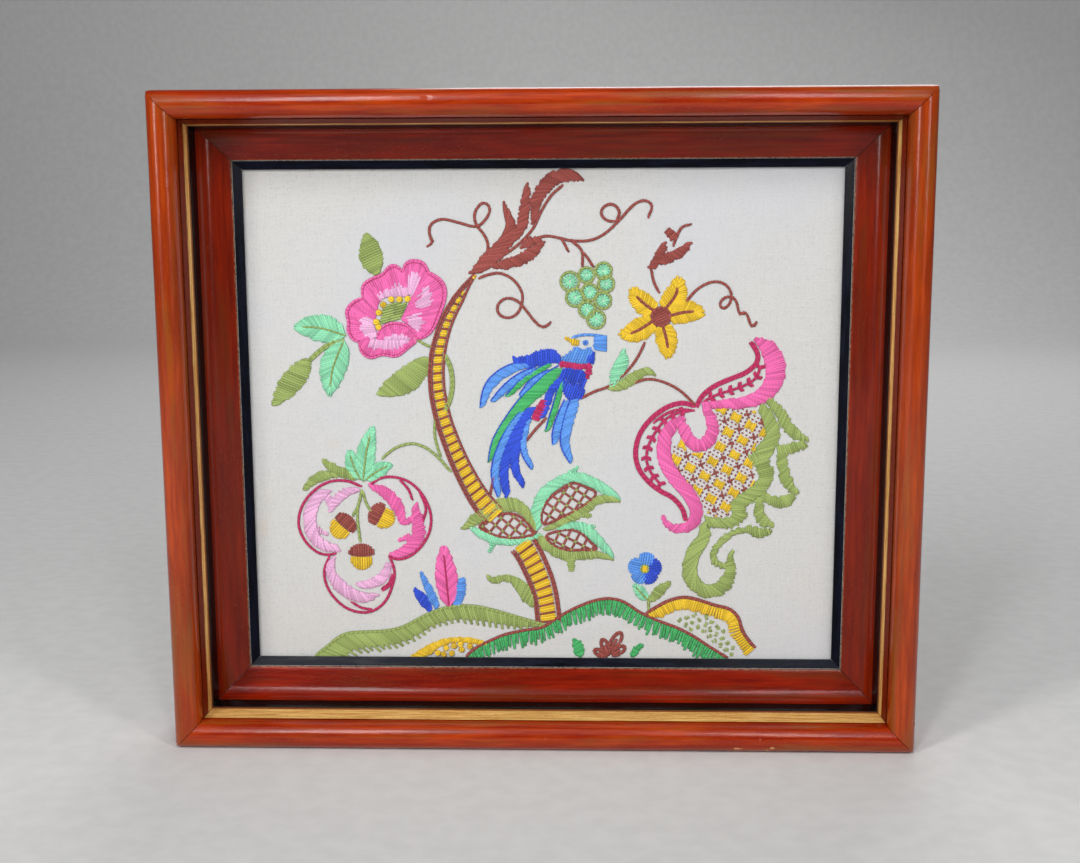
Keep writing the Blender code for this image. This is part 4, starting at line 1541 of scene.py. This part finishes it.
def bird():
    """Body, neck, face and eye; the feathers are in the table of bands."""
    fill("bird", "royal_blue", curve(BIRD_BODY, closed=True), 70)
    fill("bird", "sky_blue", curve(BIRD_NECK, closed=True), 68)
    for x in (22.2, 23.4, 24.5):
        low = (x, 184.8 + jitter(0.3))
        high = (x + 0.6, 190 + jitter(0.8))
        stitch("bird", "royal_blue", low, high, base=0.15)
    for k in range(BIRD_FACE_STITCHES):
        start = (25 + jitter(0.5), 197.6 - k * 0.75)
        stitch("bird", "sky_blue", start, (31.5, 198.3 - k))
    stem("bird", "sky_blue", ring(BIRD_EYE, 1.2, 1.0), 0.9, 1.5)
    stitch("bird", "royal_blue", BIRD_EYE - (0.6, 0), BIRD_EYE + (0.6, 0), 1.0)


def clipped(outline, angle, middle, long):
    """The part of a short line through a point that lies inside an outline, or None."""
    direction = towards(angle)
    normal = turned_left(direction)
    for start, end in spans(outline, angle, float(middle @ normal)):
        low = max(float(start @ direction), float(middle @ direction) - long / 2)
        high = min(float(end @ direction), float(middle @ direction) + long / 2)
        if high - low > 1.2:
            base = normal * float(middle @ normal)
            return direction * low + base, direction * high + base
    return None


LATTICE_ANGLES = (63, -30)
LATTICE_PITCH = 8.2
LATTICE_MIDDLE = (84, 135)
LATTICE_REACH = 40


def dotted_lines(outline):
    """Paired lines of short brown stitches along the lattice's two directions."""
    for degrees in LATTICE_ANGLES:
        angle = math.radians(degrees)
        for offset in offsets(outline, angle, LATTICE_PITCH):
            for shift in (-1.0, 1.0):
                for start, end in spans(outline, angle, offset + shift):
                    count = max(1, int(np.linalg.norm(end - start) / 2.0))
                    for k in range(count):
                        low = start + (end - start) * (k + 0.2) / count
                        high = start + (end - start) * (k + 0.75) / count
                        stitch("paisley", "brown", low, high, THIN_WIDTH, THIN_HEIGHT)


def lattice(outline):
    """Blocks of yellow satin on a slanting net of paired dotted lines, crossed in brown."""
    dotted_lines(outline)
    for point in crossings(outline, *LATTICE_ANGLES, LATTICE_PITCH):
        small_cross("paisley", "brown", point, LATTICE_ANGLES, 1.3, 0.12)
    a, b = (math.radians(degrees) for degrees in LATTICE_ANGLES)
    rows = np.array((turned_left(towards(a)), turned_left(towards(b))))
    wide = towards(b)
    for u in np.arange(-30, 31) * LATTICE_PITCH:
        for v in np.arange(-30, 31) * LATTICE_PITCH:
            place = np.array((u + LATTICE_PITCH / 2, v + LATTICE_PITCH / 2))
            middle = np.linalg.solve(rows, place)
            if np.max(np.abs(middle - LATTICE_MIDDLE)) > LATTICE_REACH:
                continue
            for k in range(5):
                waist = 4.6 - 1.1 * (1 - abs(k - 2) / 2) + jitter(0.3)
                part = clipped(outline, a, middle + wide * (k - 2) * 0.98, waist)
                if part:
                    stitch("paisley", "yellow", *part, 1.15, base=0.05)


SPRIG_GAP = 5.2


def sprigs(points):
    """A line of crimson with pairs of small slanting stitches up both its sides."""
    path = curve(points)
    stem("paisley", "crimson", path, 1.2)
    count = round(length_of(path) / SPRIG_GAP)
    places = at(path, (np.arange(count) + 0.7) / count)
    ahead = at(path, (np.arange(count) + 0.75) / count) - places
    for place, forward in zip(places, ahead):
        forward = forward / np.linalg.norm(forward)
        side = turned_left(forward)
        for sign in (-1, 1):
            for k in range(2):
                root = place + forward * k * 0.9
                stitch("paisley", "crimson", root, root + forward * 1.2 + side * sign * 2.5, 1.1)


def paisley():
    """Sprigs in the rims and the lattice inside; the rims are in the tables."""
    sprigs(((73, 161.8), (66, 160.6), (60, 157.3), (55.3, 151), (52, 144.5), (51, 137.5),
            (53.2, 131), (58.5, 124.3)))
    sprigs(((78.5, 166.3), (85, 169.6), (93, 172.2), (100, 175), (104.3, 178.5), (106, 184)))
    net = curve(((85, 162.5), (95, 163), (103, 162), (108, 157), (109, 149), (104, 143), (103, 133),
                 (104, 126), (98, 120), (92.5, 114), (91.5, 109), (84, 108.5), (79.7, 113),
                 (76, 121), (69.5, 127), (65, 132), (63.5, 140), (65, 147.5), (68.5, 148), (71, 142),
                 (77, 140.8), (84, 143), (87, 150), (86, 157)), closed=True)
    lattice(net)


def acorn(centre, degrees):
    """A brown cap over a yellow nut, with its point turned by degrees from straight down."""
    turn = math.radians(degrees)
    down = np.array((math.sin(turn), -math.cos(turn)))
    centre = np.array(centre)
    nut = oval(centre + down * 1.5, 5.9, 7.2, degrees, 180, 360)
    fill("pansy", "yellow", nut, degrees + 90)
    dome = oval(centre, 6.6, 5.2, degrees, 0, 180)
    rim = oval(centre, 6.6, 1.9, degrees, 180, 360)
    cap = np.vstack((dome, rim))
    fill("pansy", "brown", cap, degrees + 90)


def pansy_acorns():
    acorn((-99.2, 104.4), -42)
    acorn((-82, 109.2), 62)
    acorn((-91, 89.3), 0)


BLUE_CENTRE = np.array((50.6, 82))
BLUE_PETALS = (
    (80, "sky_blue"), (12, "royal_blue"), (-62, "royal_blue"), (-125, "sky_blue"),
    (165, "sky_blue"),
)


def blue_flower():
    """Five blue petals round three yellow stitches in an olive ring."""
    for degrees, yarn in BLUE_PETALS:
        middle = BLUE_CENTRE + towards(math.radians(degrees)) * 5.0
        fill("blue_flower", yarn, oval(middle, 3.6, 4.3, degrees), degrees)
    for k in (-1, 0, 1):
        start = BLUE_CENTRE + (-1.4, k)
        stitch("blue_flower", "yellow", start, BLUE_CENTRE + (1.4, k), base=0.2)
    stem("blue_flower", "olive", ring(BLUE_CENTRE, 2.1, 2.1), 0.8, 1.6, 0.15)


SPRIG_LOOPS = (  # root, tip and width of each brown loop
    ((33.5, 40), (39, 49), 5.2), ((32.5, 37), (29.6, 45.6), 4.4), ((34.5, 37.2), (41, 41.6), 4.6),
    ((31.5, 36), (25.4, 40), 4),
)


def sprig_loops():
    """Brown loops with a stitch up the middle of each."""
    for root, tip, width in SPRIG_LOOPS:
        root, tip = np.array(root), np.array(tip)
        ahead = tip - root
        degrees = math.degrees(math.atan2(ahead[1], ahead[0])) - 90
        size = float(np.linalg.norm(ahead))
        loop = ring((root + tip) / 2, width / 2 - 0.5, size / 2, degrees)
        stem("bottom_sprig", "brown", loop, 1.6, 2.2)
        stitch("bottom_sprig", "brown", root, root + ahead * 0.62, 1.6)


CLUSTER_NETS = (
    ((-32, 103.2), (-26, 107.8), (-19, 110), (-12, 108.8), (-5, 102), (-3.5, 100), (-12, 97.7),
     (-22, 98.2)),
    ((0, 104.5), (-0.8, 110), (2.5, 117), (8.5, 122), (15, 125.6), (21, 123.5), (26.5, 120.5),
     (22, 115.5), (14, 110.5), (7, 107)),
    ((1, 98.5), (7, 101), (13, 102), (19, 100), (23.5, 95.5), (27, 91.7), (19, 91.5), (11, 91.5),
     (5, 94)),
)


def cluster_nets():
    """Brown nets inside the leaves, each turned a little more than the last."""
    for k, points in enumerate(CLUSTER_NETS):
        outline = curve(points, closed=True)
        trellis("cluster", "brown", "olive", outline, (52 + 6 * k, -40 + 6 * k), 4.6)
        stem("cluster", "brown", outline, 1.2, 2.6)


OLIVE_RIDGE = (
    (-116, 36), (-110, 40.5), (-104, 45.5), (-98, 48), (-89, 48.6), (-79, 49.3), (-71, 51.3),
    (-63.5, 55.3), (-56.5, 58.8), (-49, 61.4), (-41, 62.5), (-33, 62), (-24, 60), (-15, 57.3),
    (-5, 54.3), (0.5, 53),
)
OLIVE_FOOT = (
    (-106, 34), (-99, 36), (-93, 38.6), (-85, 39.6), (-76, 40.6), (-69, 43), (-61.5, 47.5),
    (-54.5, 51.3), (-47, 53.6), (-40, 54.3), (-32, 53.6), (-24, 52.2), (-17, 51), (-11, 50.5),
    (-6, 51), (-0.5, 52),
)


def olive_hill():
    """Olive stitches down from a stem-stitched ridge, each third one longer."""
    ridge = curve(OLIVE_RIDGE)
    foot = curve(OLIVE_FOOT)
    shares = even_shares(length_of(ridge))
    for k, (top, low) in enumerate(zip(at(ridge, shares), at(foot, shares))):
        reach = 1.14 if k % 3 == 0 else 0.88
        stitch("olive_hill", "olive", top, top + (low - top) * (reach + jitter(0.07)))
    stem("olive_hill", "olive", ridge, 1.4, 2.4, 0.15)


ARCH_TOP = (
    (-68, 35.5), (-61, 40.3), (-54, 43.7), (-47.5, 45.6), (-40, 46), (-33, 44.7), (-28, 42.9),
)
ARCH_FOOT = (
    (-62, 33.5), (-57, 37.5), (-52, 40.9), (-46.5, 42.9), (-40, 43.3), (-34.5, 42.6), (-29.5, 42),
)
ARCH_KNOTS = (
    (-57.5, 38.2), (-53.6, 37.6), (-49.3, 40.4), (-45.4, 41.4), (-41.4, 39.6), (-46.5, 37.5),
    (-37.3, 41.2), (-42, 42.2), (-50.5, 37),
)


def yellow_arch():
    """A thin yellow arch under the olive hill, with knots below it."""
    satin("yellow_arch", "yellow", curve(ARCH_TOP), curve(ARCH_FOOT), 0.0, 0.3)
    for place in ARCH_KNOTS:
        knot("yellow_arch", "yellow", place, 3.4)


EMERALD_EDGE = (
    (-39.5, 36), (-33.5, 41), (-27, 44.3), (-20, 47.4), (-10, 49.8), (-1, 51.3), (5, 55),
    (10.5, 58.7), (18, 62.6), (26, 65.6), (33.5, 66.6), (40.5, 64.8), (47, 60.3), (51, 58.2),
    (58, 55), (66, 52), (74, 48), (83, 42), (92.5, 36),
)
EMERALD_PITCH = YARN_PITCH * 1.1


def emerald_hill():
    """Leaning emerald stitches, in pairs end to end, under a brown edge."""
    edge = curve(EMERALD_EDGE)
    shares = even_shares(length_of(edge), EMERALD_PITCH)
    for k, (point, side) in enumerate(zip(at(edge, shares), right_of(edge, shares))):
        deep = 7.6 + (1.0 if k % 2 else -0.7) + jitter(1.2)
        lean = side * 0.55 + np.array((-0.1 + jitter(0.22), -0.84)) * 0.45
        start = point + lean * 0.6
        split = start + lean * deep * (0.5 + jitter(0.2))
        stitch("emerald_hill", "emerald", start, split)
        stitch("emerald_hill", "emerald", split - lean * 0.6, start + lean * deep)
    stem("emerald_hill", "brown", edge, 1.3, 2.8, 0.12)


YELLOW_CREST = (
    (51, 58.7), (56.5, 62.3), (63, 65.8), (70.5, 67.5), (78, 66), (86, 63.3), (93, 61.5),
    (97.5, 57), (99.5, 50.5), (103, 45), (106.3, 41.2),
)
MEADOW = (
    (62, 56.5), (70, 60), (79, 58.5), (88, 55), (92, 48), (97, 40), (97, 35), (92, 39),
    (84, 44), (76, 49.5), (68, 53.5),
)


def yellow_hill():
    """Yellow stitches under a brown crest, short at its left end, and a meadow of olive seeds."""
    crest = curve(YELLOW_CREST)
    shares = even_shares(length_of(crest))
    for point, side, share in zip(at(crest, shares), right_of(crest, shares), shares):
        deep = (5.6 + jitter(0.7)) * min(1.0, 0.35 + share * 7)
        stitch("yellow_hill", "yellow", point + side * 0.6, point + side * (deep + 0.6))
    stem("yellow_hill", "brown", crest, 1.5, 2.8, 0.12)
    seeds("yellow_hill", "olive", curve(MEADOW, closed=True), 3.2, 2.0)


def right_of(path, shares):
    """Unit vectors to the right of a path at these shares of its length."""
    ahead = unit_rows(at(path, shares + 0.004) - at(path, shares - 0.004))
    return np.column_stack((ahead[:, 1], -ahead[:, 0]))


def feather_edge(points, widths):
    """A thin royal blue line that parts one feather from the next."""
    path = curve(points)
    edge = path - sideways(path) * half_widths(path, widths)[:, None]
    stem("bird", "royal_blue", edge, 0.65, 1.9, 0.1)


def embroider():
    """Works every motif, always in this order, and returns the pieces."""
    for row in BANDS:
        band(row.motif, row.wool, row.points, row.widths, row.slant)
        if row.motif == "bird" and row.wool in ("sky_blue", "emerald"):
            feather_edge(row.points, row.widths)
    for row in LINES:
        stem(row.motif, row.wool, curve(row.points), rows=row.rows, long=2.8)
    for row in LEAVES:
        leaf(row.motif, row.wool, row.root, row.tip, row.width, row.bend, row.vein)
    for motif in (trunk, grapes, star_flower, rose, bird, paisley, pansy_acorns, blue_flower,
                  cluster_nets, sprig_loops, olive_hill, yellow_arch, emerald_hill, yellow_hill):
        motif()
    return add_strands()


# Camera, lights and stage

def aim(thing, place, target, roll=0.0):
    turn = (target - place).to_track_quat("-Z", "Y")
    thing.rotation_mode = "QUATERNION"
    thing.rotation_quaternion = turn @ Quaternion((0, 0, 1), roll)
    thing.location = place


def add_camera():
    data = bpy.data.cameras.new("view")
    data.lens = CAMERA_LENS
    data.clip_start = 0.01
    camera = new_object("view", data)
    aim(camera, CAMERA_PLACE, CAMERA_TARGET, CAMERA_ROLL)
    bpy.context.scene.camera = camera


Lamp = namedtuple("Lamp", "name place target width height power colour")

LAMPS = (
    Lamp("left_strip", (-1.06, -1.22, 0.82), (0, 0, 0.16), 0.3, 1.2, 14.5, (1.0, 0.99, 0.97)),
    Lamp("right_strip", (1.06, -1.25, 0.82), (0, 0, 0.16), 0.22, 1.2, 9, (1.0, 0.99, 0.97)),
    Lamp("left_window", (-0.36, -1.2, 1.15), (0, 0, 0.16), 0.16, 0.75, 6.5, (0.97, 0.98, 1.0)),
    Lamp("right_window", (0.32, -1.2, 1.15), (0, 0, 0.16), 0.14, 0.75, 3.8, (0.97, 0.98, 1.0)),
    Lamp("overhead", (0.0, -0.6, 1.5), (0, 0, 0.16), 1.2, 0.5, 2.0, (1.0, 0.98, 0.96)),
    Lamp("back_fill", (0.3, 1.6, 1.4), (0, 0, 0.1), 1.2, 1.2, 15, (1.0, 1.0, 1.0)),
)


WORLD_TINT = (0.86, 0.9, 1.0, 1)
WORLD_STRENGTH = 0.07


def add_lights():
    for lamp in LAMPS:
        data = bpy.data.lights.new(lamp.name, "AREA")
        data.shape = "RECTANGLE"
        data.size = lamp.width
        data.size_y = lamp.height
        data.energy = lamp.power
        data.color = lamp.colour
        aim(new_object(lamp.name, data), Vector(lamp.place), Vector(lamp.target))
    world = bpy.data.worlds.new("studio")
    world.use_nodes = True
    air = world.node_tree.nodes["Background"]
    air.inputs["Color"].default_value = WORLD_TINT
    air.inputs["Strength"].default_value = WORLD_STRENGTH
    bpy.context.scene.world = world
    bpy.context.scene.view_settings.view_transform = "Standard"


def add_stage():
    """A floor that curves up into a backdrop, well behind the panel."""
    reach, front, back, top = 3.6, 1.1, 2.2, 2.0
    bend = 0.5
    rows = [(-front, 0.0), (back - bend, 0.0)]
    rows += [
        (back - bend + bend * math.sin(a), bend - bend * math.cos(a))
        for a in (math.radians(d) for d in range(9, 91, 9))
    ]
    rows.append((back, top))
    points = [(side * reach, y, z) for y, z in rows for side in (-1, 1)]
    faces = [(2 * k, 2 * k + 1, 2 * k + 3, 2 * k + 2) for k in range(len(rows) - 1)]
    mesh = bpy.data.meshes.new("stage")
    mesh.from_pydata(points, [], faces)
    mesh.shade_smooth()
    mesh.materials.append(stage_paper())
    stage = new_object("stage", mesh)


def main():
    add_frame()
    linen = add_linen()
    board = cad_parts["backing_board"]
    board.data.materials.clear()
    board.data.materials.append(old_board())
    pieces = embroider()
    add_camera()
    add_lights()
    add_stage()


main()
